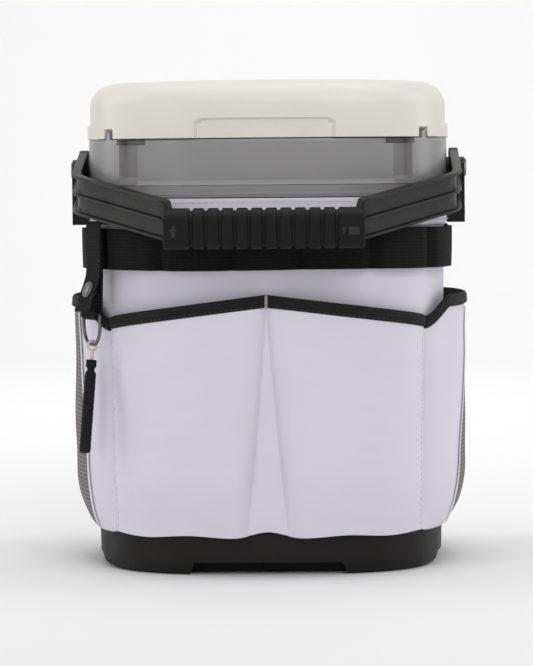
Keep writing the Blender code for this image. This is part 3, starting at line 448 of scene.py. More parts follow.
# ---- Boot ----
def make_boot():
    bearings = [i * 1.5 for i in range(240)]
    turn = [(-0.0085, 0.0), (-0.0060, 0.0003), (-0.0040, 0.0013), (-0.0024, 0.0028), (-0.0014, 0.0046)]
    turn += [(-0.0008, 0.0070), (-0.0005, 0.0095), (-0.00035, 0.0150), (-0.0001, 0.0265),
        (0.0001, 0.0300)]
    turn += [(0.0000, 0.0310), (-0.0006, 0.0318), (-0.0018, 0.0320), (-0.0029, 0.0318),
        (-0.0030, 0.0250)]
    # the underside runs in to a flat centre
    levels = [(-0.1252, 0.0), (-0.0700, 0.0), (-0.0350, 0.0)] + turn

    def place(u, v):
        inset, z = levels[int(v)]
        half = 0.1292 + inset
        if half < 0.02:
            return plan(u, 0.0292 + 0.0002) * 0.02 + Vector((0, 0, z))
        return plan(u, half) + Vector((0, 0, z))

    shell = surface("boot_shell", bearings, list(range(len(levels))), place, closed=True, smooth=40)
    bm = bmesh.new()
    bm.from_mesh(shell.data)
    edge = [e for e in bm.edges if e.is_boundary and e.verts[0].co.z < 0.001]
    bmesh.ops.contextual_create(bm, geom=edge)
    rim = [e for e in bm.edges if e.is_boundary]
    # inner wall and floor close the shell
    made = bmesh.ops.extrude_edge_only(bm, edges=rim)["geom"]
    for v in [g for g in made if isinstance(g, bmesh.types.BMVert)]:
        v.co.z = 0.0121
    low = [g for g in made if isinstance(g, bmesh.types.BMEdge) and g.is_boundary]
    bmesh.ops.contextual_create(bm, geom=low)
    bmesh.ops.recalc_face_normals(bm, faces=bm.faces)
    bm.to_mesh(shell.data)
    bm.free()
    cutters = []
    for bearing in (0, 90, 180, 270):
        out = Vector((math.sin(RAD(bearing)), -math.cos(RAD(bearing)), 0))
        side = out.cross(Vector((0, 0, 1)))
        bm = bmesh.new()
        bmesh.ops.create_cube(bm, size=2)
        for v in bm.verts:
            top = v.co.z > 0
            across = (0.058 + (-0.0042 if top else 0.0035)) * (1 if v.co.x > 0 else -1)
            near = 0.145 if v.co.y > 0 else 0.0975
            v.co = out * near + side * across + Vector((0, 0, 0.0092 if top else -0.01))
        vertical = [e for e in bm.edges if e.verts[0].co.z > 0 and e.verts[1].co.z > 0]
        run = [e for e in vertical if abs((e.verts[0].co - e.verts[1].co).normalized().dot(out)) > 0.9]
        bmesh.ops.bevel(bm, geom=run, offset=0.0030, segments=4, profile=0.5, affect="EDGES")
        bmesh.ops.recalc_face_normals(bm, faces=bm.faces)
        mesh = bpy.data.meshes.new("notch_cut")
        bm.to_mesh(mesh)
        bm.free()
        cut = bpy.data.objects.new(f"notch_cut_{bearing}", mesh)
        bpy.context.scene.collection.objects.link(cut)
        m = shell.modifiers.new(f"notch_{bearing}", "BOOLEAN")
        m.object = cut
        cutters.append(cut)
    apply_modifiers(shell)
    for cut in cutters:
        bpy.data.objects.remove(cut)
    shell.data.shade_smooth()
    shell.data.set_sharp_from_angle(angle=RAD(32))
    return done(shell, "bucket", BOOT, "boot_black", "base_boot")


def apply_modifiers(obj):
    bpy.context.view_layer.update()
    dg = bpy.context.evaluated_depsgraph_get()
    mesh = bpy.data.meshes.new_from_object(obj.evaluated_get(dg), depsgraph=dg)
    obj.modifiers.clear()
    obj.data = mesh
    return obj


# ---- Sleeve and hem ----
def make_sleeve():
    def place(u, v):
        z = 0.0323 + (0.2526 - 0.0323) * v
        p = plan(u, 0.13)
        dent = 0.0007 * wob(p.x, p.y, z, 11, 3.1) + 0.00035 * wob(p.x, p.y, z * 0.5, 30, 7.7)
        # soft vertical rolls where the cloth is drawn over the tub
        dent += 0.0003 * math.sin(u * 0.21 + 2.0 * wob(p.x, p.y, z, 6, 1.0)) * math.sin(math.pi * v)
        return on_sleeve(u, z, dent - 0.0002)

    sleeve = outwards(surface("sleeve_cloth", [i * 2.0 for i in range(180)], span(0, 1, 60), place,
        closed=True))
    thicken(sleeve, 0.0022, -1)
    done(sleeve, "bucket", VINYL, "vinyl", "vinyl_sleeve")

    def hem_place(u, v):
        z = 0.2524 + (0.2732 - 0.2524) * v
        swell = 0.00055 * math.sin(math.pi * min(1, max(0, v))) + 0.00015 * wob(u * 0.01, z, 0.3, 60)
        return on_sleeve(u, z, 0.0003 + swell)

    hem = outwards(surface("hem_band", [i * 2.0 for i in range(180)], span(0, 1, 14), hem_place,
        closed=True))
    thicken(hem, 0.0010, 1, 0.0003)
    done(hem, "bucket", VINYL, "hem_tape", "sleeve_top_binding")
    for row, z in (("upper", 0.2706), ("lower", 0.2560)):
        off = 0.0017 + 0.00055 * math.sin(math.pi * (z - 0.2524) / 0.0208)
        line = [on_sleeve(u, z, off) for u in span(0, 360, 361)]
        normals = [outward(u, 0.133) for u in span(0, 360, 361)]
        done(stitches(f"hem_stitches_{row}", line, normals), "bucket", THREAD, "hem_tape")


# ---- Collar ----
def clustered(marks, low, high, step, near):
    out = set(round(low + step * i, 5) for i in range(int((high - low) / step) + 1))
    for m in marks:
        out = {x for x in out if abs(x - m) > near * 1.2}
        out |= {round(m - near, 6), round(m + near, 6)}
    return sorted(x for x in out if low <= x <= high)


def make_collar():
    marks = [s * m for s in (-1, 1) for m in (38.1, 40.7, 46.6, 47.6)]
    bearings = clustered(marks, -180, 178.5, 1.5, 0.09)
    top, low = 0.3160, 0.2740
    zs = clustered([0.2757, 0.2778, 0.2828, 0.2862, 0.2890, 0.3122], low, top, 0.003, 0.00016)
    zs = [z for z in zs if z <= top - 0.0001] + [top - 0.0009]
    zs = sorted(set(zs))

    def depth(b, z):
        a = abs(b)
        d = 0.0
        if z < 0.2757:
            d = 0.0006
        elif z < 0.2778:
            d = 0.0
        elif z < 0.2828:
            d = 0.0009
        if z > 0.2845 and a < 40.7:
            d = max(d, 0.003 * min(1, (z - 0.2845) / 0.0017))
        if 0.2890 < z < 0.3122 and 40.7 < a < 46.6:
            d = 0.0075
        if z > 0.3122 and 38.1 < a < 47.6:
            d = 0.0095
        elif z > 0.2862 and 40.7 <= a <= 46.6:
            d = max(d, 0.0035)
        return d

    profile = [("out", z) for z in zs] + [("crown", top - 0.0002), ("top", top), ("mid", top),
        ("inn", top)]
    profile += [("in", top - 0.0008), ("in", 0.295), ("in", low + 0.0008), ("low", low)]

    def place(u, v):
        kind, z = profile[int(v)]
        half, d = COLLAR_HALF, depth(u, z if kind == "out" else 0.3155)
        if kind in ("crown", "top"):
            d += 0.0003 if kind == "crown" else 0.0009
        n = outward(u, half)
        if kind in ("out", "crown", "top"):
            return plan(u, half) - n * d + Vector((0, 0, z))
        inner = {"mid": 0.1232, "inn": 0.1208, "in": 0.1200, "low": 0.1208}[kind]
        return plan(u, inner) + Vector((0, 0, z))

    ring = surface("collar_ring", bearings, list(range(len(profile))), place, closed=True, smooth=24)
    bm = bmesh.new()
    bm.from_mesh(ring.data)
    nu = len(bearings)
    bm.verts.ensure_lookup_table()
    last = (len(profile) - 1) * nu
    for i in range(nu):
        k = (i + 1) % nu
        bm.faces.new((bm.verts[last + i], bm.verts[last + k], bm.verts[k], bm.verts[i]))
    bmesh.ops.recalc_face_normals(bm, faces=bm.faces)
    bm.to_mesh(ring.data)
    bm.free()
    ring.data.shade_smooth()
    ring.data.set_sharp_from_angle(angle=RAD(24))
    done(ring, "bucket", COLLAR, "grey_plastic", "rim_collar")
    for name, sign in (("left", -1), ("right", 1)):
        bm = bmesh.new()
        bearing = sign * TAB_BEARING
        n = outward(bearing, COLLAR_HALF)
        side = n.cross(Vector((0, 0, 1)))
        bmesh.ops.create_cube(bm, size=2)
        for v in bm.verts:
            up = v.co.z > 0
            w = (0.0022 if up else 0.0036) * (1 if v.co.x > 0 else -1)
            d = 0.0006 if v.co.y > 0 else 0.0055
            v.co = plan(bearing, COLLAR_HALF) - n * d + side * w + Vector((0, 0, 0.3205 if up else 0.3135))
        bmesh.ops.bevel(bm, geom=bm.edges[:], offset=0.0006, segments=2, profile=0.5, affect="EDGES")
        done(finish_bm(f"collar_tab_{name}", bm), "bucket", COLLAR, "grey_plastic")
        for k, edge in (("inner", -1), ("outer", 1)):
            x = sign * HINGE_X + edge * 0.0103
            done(knuckle(f"collar_knuckle_{name}_{k}", x, -1), "bucket", COLLAR, "grey_plastic")


def knuckle(name, x, below):
    """A hinge barrel with a pin hole, on a web that runs into the wall beside it."""
    half, hy, hz, r, hole = 0.005, HINGE_Y, HINGE_Z, 0.005, 0.0023
    outline = []
    for i in range(25):
        t = RAD(-90 + 270 * i / 24) if below < 0 else RAD(90 - 270 * i / 24)
        outline.append((hy + r * math.cos(t), hz + r * math.sin(t)))
    inner_y = 0.1180
    outline += [(inner_y, hz + below * 0.0005), (inner_y, hz + below * (r - 0.0003))]
    ring = [(hy + hole * math.cos(RAD(15 * i)), hz + hole * math.sin(RAD(15 * i))) for i in range(24)]
    curve = bpy.data.curves.new(name, "CURVE")
    curve.dimensions = "2D"
    curve.fill_mode = "BOTH"
    curve.extrude = half - 0.0004
    curve.bevel_depth = 0.0004
    curve.bevel_resolution = 1
    for pts in (outline, ring):
        s = curve.splines.new("POLY")
        s.points.add(len(pts) - 1)
        for p, (a, b) in zip(s.points, pts):
            p.co = (a, b, 0, 1)
        s.use_cyclic_u = True
    tmp = bpy.data.objects.new(name, curve)
    bpy.context.scene.collection.objects.link(tmp)
    bpy.context.view_layer.update()
    mesh = bpy.data.meshes.new_from_object(tmp.evaluated_get(bpy.context.evaluated_depsgraph_get()))
    bpy.data.objects.remove(tmp)
    mesh.transform(Matrix(((0, 0, 1, x), (1, 0, 0, 0), (0, 1, 0, 0), (0, 0, 0, 1))))
    bm = bmesh.new()
    bm.from_mesh(mesh)
    bmesh.ops.remove_doubles(bm, verts=bm.verts, dist=1e-6)
    return finish_bm(name, bm)


# ---- Lid ----
def make_lid():
    low = 0.3165
    prof = [(LID_HALF, z) for z in (low, low + 0.0004, 0.3185, 0.3210, 0.3240, 0.3265, 0.3272,
        0.3290, 0.3300, 0.3310, 0.3330, 0.3365)]
    prof[0] = (0.1329, low)
    for i in range(0, 15):
        t = RAD(90 * i / 14)
        prof.append((LID_HALF - 0.0200 * (1 - math.cos(t)) * 0.92, 0.3395 + 0.0184 * math.sin(t)))
    edge = prof[-1][0]
    for r in (0.108, 0.098, 0.084, 0.066, 0.046, 0.026, 0.0120):
        prof.append((r, 0.3579 + 0.0031 * (1 - (r / edge) ** 2)))
    marks = [s * m for s in (-1, 1) for m in (22.6, TAB_BEARING - 2.1, TAB_BEARING + 2.1, 62.0)]
    bearings = clustered(marks, -180, 178.8, 1.2, 0.12)

    def place(u, v):
        half, z = prof[int(v)]
        p = plan(u, half) if half > 0.03 else plan(u, 0.03) * (half / 0.03)
        n = outward(u, max(half, 0.06))
        off = 0.0
        x = plan(u, LID_HALF).x
        if abs(u) < 40 and z < 0.3320:
            over = max(0.0, z - (0.3305 - 0.007))
            edge_x = 0.051 - 0.007 + math.sqrt(max(0.0, 0.007**2 - min(over, 0.007) ** 2))
            inside = ease((edge_x - abs(x)) / 0.0013) * ease((0.3309 - z) / 0.0012)
            off -= 0.0024 * inside
        if abs(abs(u) - TAB_BEARING) < 2.1 and z < 0.3224:
            off -= 0.0085
        y = plan(u, LID_HALF).y
        if abs(y) < 0.0553 and z < 0.3280:
            off += 0.0019 * ease((0.0553 - abs(y)) / 0.0016) * ease((0.3276 - z) / 0.0012)
        return p + n * off + Vector((0, 0, z))

    shell = outwards(surface("lid_moulding", bearings, list(range(len(prof))), place, closed=True,
        smooth=28))
    bm = bmesh.new()
    bm.from_mesh(shell.data)
    top = [e for e in bm.edges if e.is_boundary and e.verts[0].co.z > 0.35]
    bmesh.ops.contextual_create(bm, geom=top)
    bmesh.ops.recalc_face_normals(bm, faces=bm.faces)
    if sum(f.normal.z for f in bm.faces if f.calc_center_median().z > 0.359) < 0:
        bmesh.ops.reverse_faces(bm, faces=bm.faces)
    bm.to_mesh(shell.data)
    bm.free()
    shell.data.shade_smooth()
    shell.data.set_sharp_from_angle(angle=RAD(28))
    thicken(shell, 0.0017, -1)
    done(shell, "lid", LID, "lid_white", "lid_shell")
    for name, sign in (("left", -1), ("right", 1)):
        done(knuckle(f"lid_knuckle_{name}", sign * HINGE_X, 1), "lid", LID, "lid_white")


# ---- Bail ----
PIVOT_Z, TILT = 0.2940, 12.5
BX, SIDE, REACH, SLOPE = 0.1399, 0.080, 0.170, 1.19
TURN = Matrix.Translation((0, 0, PIVOT_Z)) @ Matrix.Rotation(RAD(TILT), 4, "X")


def bail_path():
    bar = BX - (REACH - SIDE) / SLOPE
    corners = [(-BX, 0), (-BX, -SIDE), (-bar, -REACH)]
    corners += [(-x, y) for x, y in reversed(corners)]
    pts = [Vector((*corners[0], 0))]
    radius = 0.028
    for a, c, b in zip(corners, corners[1:], corners[2:]):
        a, c, b = (Vector((*p, 0)) for p in (a, c, b))
        d1, d2 = (a - c).normalized(), (b - c).normalized()
        turn = math.pi - d1.angle(d2)
        start = c + d1 * radius * math.tan(turn / 2)
        mid = c + (d1 + d2).normalized() * radius / math.cos(turn / 2)
        spin = 1 if d1.cross(d2).z < 0 else -1
        for i in range(17):
            pts.append(mid + Matrix.Rotation(spin * turn * i / 16, 3, "Z") @ (start - mid))
    pts.append(Vector((*corners[-1], 0)))
    dense = [pts[0]]
    for a, b in zip(pts, pts[1:]):
        n = max(1, int((b - a).length / 0.004))
        dense += [a + (b - a) * i / n for i in range(1, n + 1)]
    return dense


def rounded(points, r, seg=3):
    """The closed outline with its corners rounded."""
    out = []
    n = len(points)
    for i in range(n):
        a, c, b = (Vector(points[j % n]) for j in (i - 1, i, i + 1))
        d1, d2 = (a - c), (b - c)
        rr = min(r, d1.length * 0.45, d2.length * 0.45)
        p, q = c + d1.normalized() * rr, c + d2.normalized() * rr
        for k in range(seg + 1):
            t = k / seg
            out.append((p * (1 - t) ** 2 + c * 2 * t * (1 - t) + q * t * t))
    return out


def make_bail():
    inner, web, outer, half, rib = -0.0034, -0.0004, 0.0034, 0.0145, 0.0021
    sec = [(inner, -half), (outer, -half), (outer, -half + rib), (web, -half + rib), (web, -rib / 2),
           (outer, -rib / 2), (outer, rib / 2), (web, rib / 2), (web, half - rib), (outer, half - rib),
           (outer, half), (inner, half)]
    sec = rounded([(x, y) for x, y in sec], 0.0007)
    path = bail_path()
    bar_half = 0.0690
    verts, faces, uvs = [], [], []
    walked = 0.0
    for i, p in enumerate(path):
        a, b = path[max(0, i - 1)], path[min(len(path) - 1, i + 1)]
        t = (b - a).normalized()
        out = Vector((t.y, -t.x, 0))
        if out.dot(Vector((p.x, p.y - 0.0, 0)) + Vector((0, 0.02, 0))) < 0:
            out = -out
        if i:
            walked += (p - path[i - 1]).length
        # the channel narrows to the bar where the grip covers it
        squeeze = ease((abs(p.x) - (bar_half - 0.004)) / 0.004) if p.y < -0.15 else 1.0
        for s in sec:
            z = s.y
            high = 0.0050 + (half - 0.0050) * squeeze
            lowz = -0.0115 + (-half + 0.0115) * squeeze
            z = lowz + (high - lowz) * (z + half) / (2 * half)
            verts.append(p + out * s.x + Vector((0, 0, z)))
            uvs.append((walked, s.y))
    n = len(sec)
    for i in range(len(path) - 1):
        for k in range(n):
            m = (k + 1) % n
            faces.append((i * n + k, i * n + m, (i + 1) * n + m, (i + 1) * n + k))
    faces.append(tuple(range(n)))
    faces.append(tuple((len(path) - 1) * n + k for k in reversed(range(n))))
    bow = obj_from("bail_bow", verts, faces, uvs, 35)
    bow.data.transform(TURN)
    face_outwards(bow)
    done(bow, "bail", BLACK, "black_plastic", "bail_frame")
    for name, sign in (("left", -1), ("right", 1)):
        bm = bmesh.new()
        prof = [(0.0043, -0.0034), (0.0146, -0.0034), (0.0150, -0.0030), (0.0150, 0.0028),
            (0.0144, 0.0034),
                (0.0125, 0.0034), (0.0120, 0.0028), (0.0085, 0.0028), (0.0078, 0.0034), (0.0043, 0.0034)]
        steps = 48
        rings = []
        for i in range(steps):
            t = 2 * math.pi * i / steps
            rings.append([bm.verts.new((sign * (BX + x), r * math.cos(t), r * math.sin(t))) for r,
                x in prof])
        for i in range(steps):
            nxt = rings[(i + 1) % steps]
            for k in range(len(prof)):
                m = (k + 1) % len(prof)
                bm.faces.new((rings[i][k], rings[i][m], nxt[m], nxt[k]))
        hub = finish_bm(f"bail_hub_{name}", bm)
        hub.data.transform(TURN)
        done(hub, "bail", BLACK, "black_plastic")


def make_grip():
    near, far, drop = 0.162, 0.185, -0.004
    mid = Vector((0, -(near + far) / 2, drop))

    def ring(shrink):
        hy, hz, c = (far - near) / 2 - shrink, 0.0135 - shrink, 0.0062
        pts = []
        for q in range(4):
            for s in range(9):
                a = RAD(90 * q + 90 * s / 8)
                y = math.copysign(hy - c, math.cos(RAD(90 * q + 45)))
                z = math.copysign(hz - c, math.sin(RAD(90 * q + 45)))
                pts.append(mid + Vector((0, y + c * math.cos(a), z + c * math.sin(a))))
        return pts

    stations = [(-0.0710, 0.0016), (-0.0707, 0.0007), (-0.0700, 0.0001), (-0.0688, 0)]
    first = -0.01025 * 5 - 0.00125
    for rib in range(11):
        s = first + 0.01025 * rib
        stations += [(s - 0.0010, 0.0), (s - 0.0004, 0.00012), (s, 0.0004), (s + 0.0003, 0.0014)]
        stations += [(s + 0.0022, 0.0014), (s + 0.0025, 0.0004), (s + 0.0029, 0.00012),
            (s + 0.0035, 0.0)]
    stations += [(0.0688, 0), (0.0700, 0.0001), (0.0707, 0.0007), (0.0710, 0.0016)]
    verts, faces = [], []
    n = len(ring(0))
    for x, shrink in stations:
        verts += [Vector((x, 0, 0)) + p for p in ring(shrink)]
    for i in range(len(stations) - 1):
        for k in range(n):
            m = (k + 1) % n
            faces.append((i * n + k, i * n + m, (i + 1) * n + m, (i + 1) * n + k))
    faces.append(tuple(reversed(range(n))))
    faces.append(tuple((len(stations) - 1) * n + k for k in range(n)))
    grip = obj_from("grip_sleeve", verts, faces, None, 40)
    face_outwards(grip)
    grip.data.transform(TURN)
    done(grip, "bail", GRIP, "grip_rubber", "bail_grip")
    # raised generic marks on the end blocks: a plain arrow, and a plain slot beside a small hook
    y = -far - 0.00015
    marks = {
        "grip_mark_arrow": [(-0.0668, 0.0010), (-0.0638, 0.0048), (-0.0608, 0.0010), (-0.0626, 0.0010),
                            (-0.0626, -0.0036), (-0.0650, -0.0036), (-0.0650, 0.0010)],
        "grip_mark_slot": [(0.0598, -0.0022), (0.0672, -0.0022), (0.0672, 0.0036), (0.0598, 0.0036)],
        "grip_mark_hook": [(0.0556, -0.0016), (0.0568, -0.0016), (0.0568, 0.0012), (0.0582, 0.0012),
                           (0.0562, 0.0034), (0.0542, 0.0012), (0.0556, 0.0012)],
    }
    for name, pts in marks.items():
        bm = bmesh.new()
        face = bm.faces.new([bm.verts.new((x, y, z + drop)) for x, z in pts])
        made = bmesh.ops.extrude_face_region(bm, geom=[face])["geom"]
        for v in [g for g in made if isinstance(g, bmesh.types.BMVert)]:
            v.co.y += 0.0006
        bmesh.ops.triangulate(bm, faces=bm.faces)
        mark = finish_bm(name, bm)
        mark.data.transform(TURN)
        done(mark, "bail", ICON, "grip_rubber")


# ---- Webbing ----
PITCH, WLOW, WHIGH = 0.050, 0.2215, 0.2515


def loop_gap(arc):
    number = round(arc / PITCH)
    if abs(arc) > PITCH * 3.5:
        return 0.0009
    share = abs(arc - number * PITCH) / (PITCH / 2)
    gap = 0.0062 if abs(number) <= 1 or number == -3 else 0.0047
    return 0.0009 + gap * min(1.0, (1 - share**2) * 1.9)


def make_webbing():
    half = sleeve_half(0.2365)
    side_arc = next(a / 1000 for a in range(150, 300) if bearing_at(a / 1000, half) >= 89.5)
    arcs = sorted(set(span(-side_arc + 0.001, side_arc - 0.001, 240)))
    for name, turn, mirrored in (("webbing_front", 0, False), ("webbing_rear", 180, True)):
        def place(arc, v):
            gap = loop_gap(-abs(arc) if not mirrored and arc < 0 else abs(arc))
            b = bearing_at(arc, half) + turn
            wave = 0.0004 * wob(arc, v * 0.03, turn * 0.01, 40)
            sag = 0.0007 * math.sin(math.pi * 2 * arc / 0.19) * (1 if turn == 0 else 0.5)
            return on_sleeve(b, WLOW + (WHIGH - WLOW) * v + sag * 0.5, gap + wave)

        band = outwards(surface(name + "_band", arcs, span(0, 1, 9), place))
        thicken(band, 0.0015, 1, 0.0004)
        done(band, "bucket", WEB, "webbing", name)
        bm = bmesh.new()
        for k in range(-4, 4):
            arc = (k + 0.5) * PITCH
            if abs(arc) > side_arc:
                continue
            b = bearing_at(arc, half) + turn
            n = outward(b, half)
            basis = Matrix((Vector((0, 0, 1)).cross(n), n, Vector((0, 0, 1)))).transposed()
            for dx in (-0.0016, 0.0016):
                for i in range(9):
                    z = WLOW + 0.0028 + i * 0.00305
                    c = on_sleeve(b, z, 0.0009 + 0.0015 + 0.0001) + basis.col[0] * dx
                    box_bm(bm, c, (0.0006, 0.0007, 0.0022), basis, 0.0002)
        done(finish_bm(name + "_tacks", bm), "bucket", DARK_THREAD, "webbing")


# ---- Pockets ----
LOW = 0.0292  # foot of the pockets
PB, SF, SL = 51.75, 51.95, 128.05
SEAMS = {"left": (62.0, 69.0), "right": (67.0, 83.0)}


def panel_top(u):
    return 0.1945 + (0.1780 - 0.1945) * abs(2 * u - 1) ** 1.2


def panel_off(u, v, seed):
    """Stand-off of the double pouch: two bellies either side of a flat middle that widens downwards."""
    s = abs(2 * u - 1)
    flat = 0.012 + 0.130 * (1 - v) ** 1.1
    t = (s - flat) / (1 - flat)
    base = 0.0009
    if t <= 0:
        return base + 0.0010 * ease((flat - s) / 0.03) * (1 - v)
    belly = math.sin(math.pi * min(1.0, t) ** 0.62) ** 0.75
    full = 0.0125 * (0.30 + 0.70 * ease(v / 0.30)) * (1 - 0.22 * v * v)
    crease = 0.0016 * (1 - v) ** 1.5 * math.exp(-((t - 0.10) / 0.06) ** 2)
    soft = 0.0011 * wob(u * 2.2, v * 1.6, seed, 2.4, seed) + 0.0005 * wob(u * 3, v * 5, seed, 3.2,
        5 + seed)
    fold = 0.0007 * math.sin(9 * u + 5 * v + 3 * wob(u, v, seed, 3.0)) * math.sin(math.pi * min(1,
        t)) * (1 - v)
    return base + full * belly + crease + (soft + fold) * ease(t / 0.15) * ease((1 - t) / 0.1)


def make_pockets():
    for name, turn, seed in (("front", 0, 0.0), ("rear", 180, 4.0)):
        first, last = turn - PB, turn + PB
        us = clustered([0.5 - 0.0709, 0.5 + 0.0709], 0, 1, 1 / 130, 0.002)

        def place(u, v):
            hang = 0.0016 * (math.sin(math.pi * 2 * abs(2 * u - 1)) ** 2) * (1 - v) ** 3
            rise = 0.0026 * (1 - v) ** 4 * ease(1 - abs(2 * u - 1) / 0.2)
            z = LOW + (panel_top(u) - LOW) * v - hang + rise
            return on_sleeve(first + (last - first) * u, z, panel_off(u, v, seed))

        panel = outwards(surface(f"{name}_panel", us, span(0, 1, 80), place))
        thicken(panel, 0.0015, 1, 0.0004)
        done(panel, "bucket", VINYL, "vinyl", f"{name}_pocket_panel")

        def bind_off(u):
            return panel_off(u, 1.0, seed)

        binding_piece(f"{name}_binding", lambda u: first + (last - first) * u, panel_top, bind_off,
                      span(0, 1, 150), f"{name}_pocket_binding")
        # bar tack at the middle of the mouth
        bm = bmesh.new()
        n = outward(turn, 0.131)
        basis = Matrix((Vector((0, 0, 1)).cross(n), n, Vector((0, 0, 1)))).transposed()
        for i in range(13):
            z = panel_top(0.5) - 0.0010 + i * 0.00078
            c = on_sleeve(turn, z, bind_off(0.5) + 0.0031)
            box_bm(bm, c, (0.0021, 0.0007, 0.00055), basis, 0.0002)
        done(finish_bm(f"{name}_bar_tack", bm), "bucket", TACK, "vinyl")
    span_b = SL - SF
    for name, sign in (("left", -1), ("right", 1)):
        def seam(v):
            low, high = SEAMS[name]
            return (low + (high - low) * v - SF) / span_b

        def side_top(u):
            return 0.1765 + 0.0150 * ease(min(u, 1 - u) / 0.16)

        def off(u, v):
            across = abs(math.sin(math.pi * u)) ** 0.9
            floor = math.sin(math.pi / 2 * min(1.0, v / 0.26)) ** 0.5
            full = 0.0165 * across * floor * (1 - 0.15 * v)
            soft = 0.0012 * wob(u * 2, v * 2, sign * 1.0, 2.2, 2.0) * across
            fold = 0.0010 * math.sin(14 * u + 4 * v) * (1 - v) * across * ease(v / 0.1)
            return 0.0009 + full + soft + fold

        def place(u, v):
            z = LOW + (side_top(u) - LOW) * v
            return on_sleeve(sign * (SF + span_b * u), z, off(u, v))

        gus = outwards(surface(f"{name}_gusset", span(0, 1, 26), [t**1.7 for t in span(0, 1, 56)],
                               lambda u, v: place(u * seam(v), v)))
        thicken(gus, 0.0015, 1, 0.0004)
        done(gus, "bucket", VINYL, "vinyl", f"{name}_pocket_gusset")
        net = outwards(surface(f"{name}_net", span(0, 1, 70), [t**1.7 for t in span(0, 1, 64)],
                               lambda u, v: place(seam(v) + 0.004 + (0.996 - seam(v)) * u, v)))
        thicken(net, 0.0011, 1, 0.0003)
        done(net, "bucket", NET, "pocket_mesh", f"{name}_mesh_pocket")
        binding_piece(f"{name}_binding", lambda u: sign * (SF + span_b * u), side_top,
            lambda u: off(u, 1.0),
                      span(0, 1, 110), f"{name}_pocket_binding")
        # covered seam between the vinyl and the mesh
        line_v = span(0.01, 0.985, 60)
        facing = [outward(sign * (SF + span_b * seam(v)), 0.131) for v in line_v]
        pts = [place(seam(v), v) + n * 0.0018 for v, n in zip(line_v, facing)]
        tape = strip(f"{name}_seam_tape", pts, facing, 0.0046, 0.0007)
        done(tape, "bucket", VINYL, "vinyl")
    # stitch lines beside the front and rear panels' edges
    for name, turn, seed in (("front", 0, 0.0), ("rear", 180, 4.0)):
        for k, u in (("left", 0.012), ("right", 0.988)):
            vs = span(0.02, 0.97, 60)
            b = turn - PB + 2 * PB * u
            pts = [on_sleeve(b, LOW + (panel_top(u) - LOW) * v,
                panel_off(u, v, seed) + 0.0016) for v in vs]
            done(stitches(f"{name}_edge_stitch_{k}", pts, [outward(b, 0.131)] * len(pts)),
                "bucket", THREAD, "vinyl")


def strip(name, points, normals, width, thick):
    pts = [Vector(p) for p in points]
    rows = []
    for i, p in enumerate(pts):
        t = (pts[min(i + 1, len(pts) - 1)] - pts[max(i - 1, 0)]).normalized()
        rows.append(t.cross(normals[i]).normalized())

    def place(u, v):
        i = int(v)
        return pts[i] + rows[i] * width * (u - 0.5)

    s = surface(name, span(0, 1, 7), list(range(len(pts))), place)
    total = sum(p.normal.dot(normals[0]) for p in s.data.polygons)
    if total < 0:
        s.data.flip_normals()
    return thicken(s, thick, 1, thick * 0.35)


def binding_piece(name, bearing, top, off, us, node):
    """Folded binding: a rounded tape over the pocket's edge, with its stitch line."""
    profile = [(-0.0005, 0.0), (0.0004, 0.0021), (0.0012, 0.0029), (0.0030, 0.0030),
        (0.0052, 0.0029), (0.0075, 0.0026),
               (0.0088, 0.0017), (0.0092, 0.0004), (0.0088, -0.0003), (0.0060, -0.0006),
                   (0.0005, -0.0004)]
    n = len(profile)
    verts, faces, uvs, walked = [], [], [], 0.0
    last = None
    stitch_line, stitch_normals = [], []
    for u in us:
        b, z0, o = bearing(u), top(u), off(u)
        for k, (dz, d) in enumerate(profile):
            z = z0 + dz
            p = on_sleeve(b, z, o + d + 0.00018 * wob(u * 8, dz * 300, 1.0, 2.0))
            verts.append(p)
            uvs.append((walked, k * 0.0022))
        here = on_sleeve(b, z0, o)
        if last is not None:
            walked += (here - last).length
        last = here
        stitch_line.append(on_sleeve(b, z0 + 0.0016, o + 0.0030))
        stitch_normals.append(outward(b, 0.131))
    for i in range(len(us) - 1):
        for k in range(n):
            m = (k + 1) % n
            faces.append((i * n + k, i * n + m, (i + 1) * n + m, (i + 1) * n + k))
    faces.append(tuple(range(n)))
    faces.append(tuple((len(us) - 1) * n + k for k in reversed(range(n))))
    obj = obj_from(name + "_tape", verts, faces, uvs, 50)
    face_outwards(obj)
    done(obj, "bucket", BIND, "webbing", node)
    st = stitches(name + "_stitch", stitch_line, stitch_normals, 0.0026, 0.0012, 0.0005, 0.0003)
    done(st, "bucket", DARK_THREAD, "webbing")


# ---- Tape strap ----
SB = -54.0
FOOT = plan(SB, sleeve_half(WLOW))
OUT = outward(SB, sleeve_half(WLOW))
ACROSS = Vector((0, 0, 1)).cross(OUT)
RING_OUT, RING_Z, RING_DROP, RW = 0.0142, 0.1885, 0.0215, 0.0132


def at(off, z, x=0.0):
    return FOOT + OUT * off + ACROSS * x + Vector((0, 0, z))


def smooth_path(points, n):
    """A rounded line through the corner points."""
    pts = [Vector((a, b, 0)) for a, b in points]
    fine = []
    for i in range(len(pts) - 1):
        p0, p1, p2, p3 = pts[max(i - 1, 0)], pts[i], pts[i + 1], pts[min(i + 2, len(pts) - 1)]
        for k in range(n):
            t = k / n
            fine.append(0.5 * (2 * p1 + (p2 - p0) * t + (2 * p0 - 5 * p1 + 4 * p2 - p3) * t * t
                               + (3 * p1 - p0 - 3 * p2 + p3) * t**3))
    fine.append(pts[-1])
    return [(p.x, p.y) for p in fine]


def strap_piece(name, path, width, thick, cup=0.0):
    def place(u, v):
        off, z = path[int(v)]
        x = (u - 0.5) * width
        return at(off - cup * (2 * u - 1) ** 2, z, x)

    s = surface(name, span(0, 1, 9), list(range(len(path))), place)
    return thicken(s, thick, 0, 0.0004)


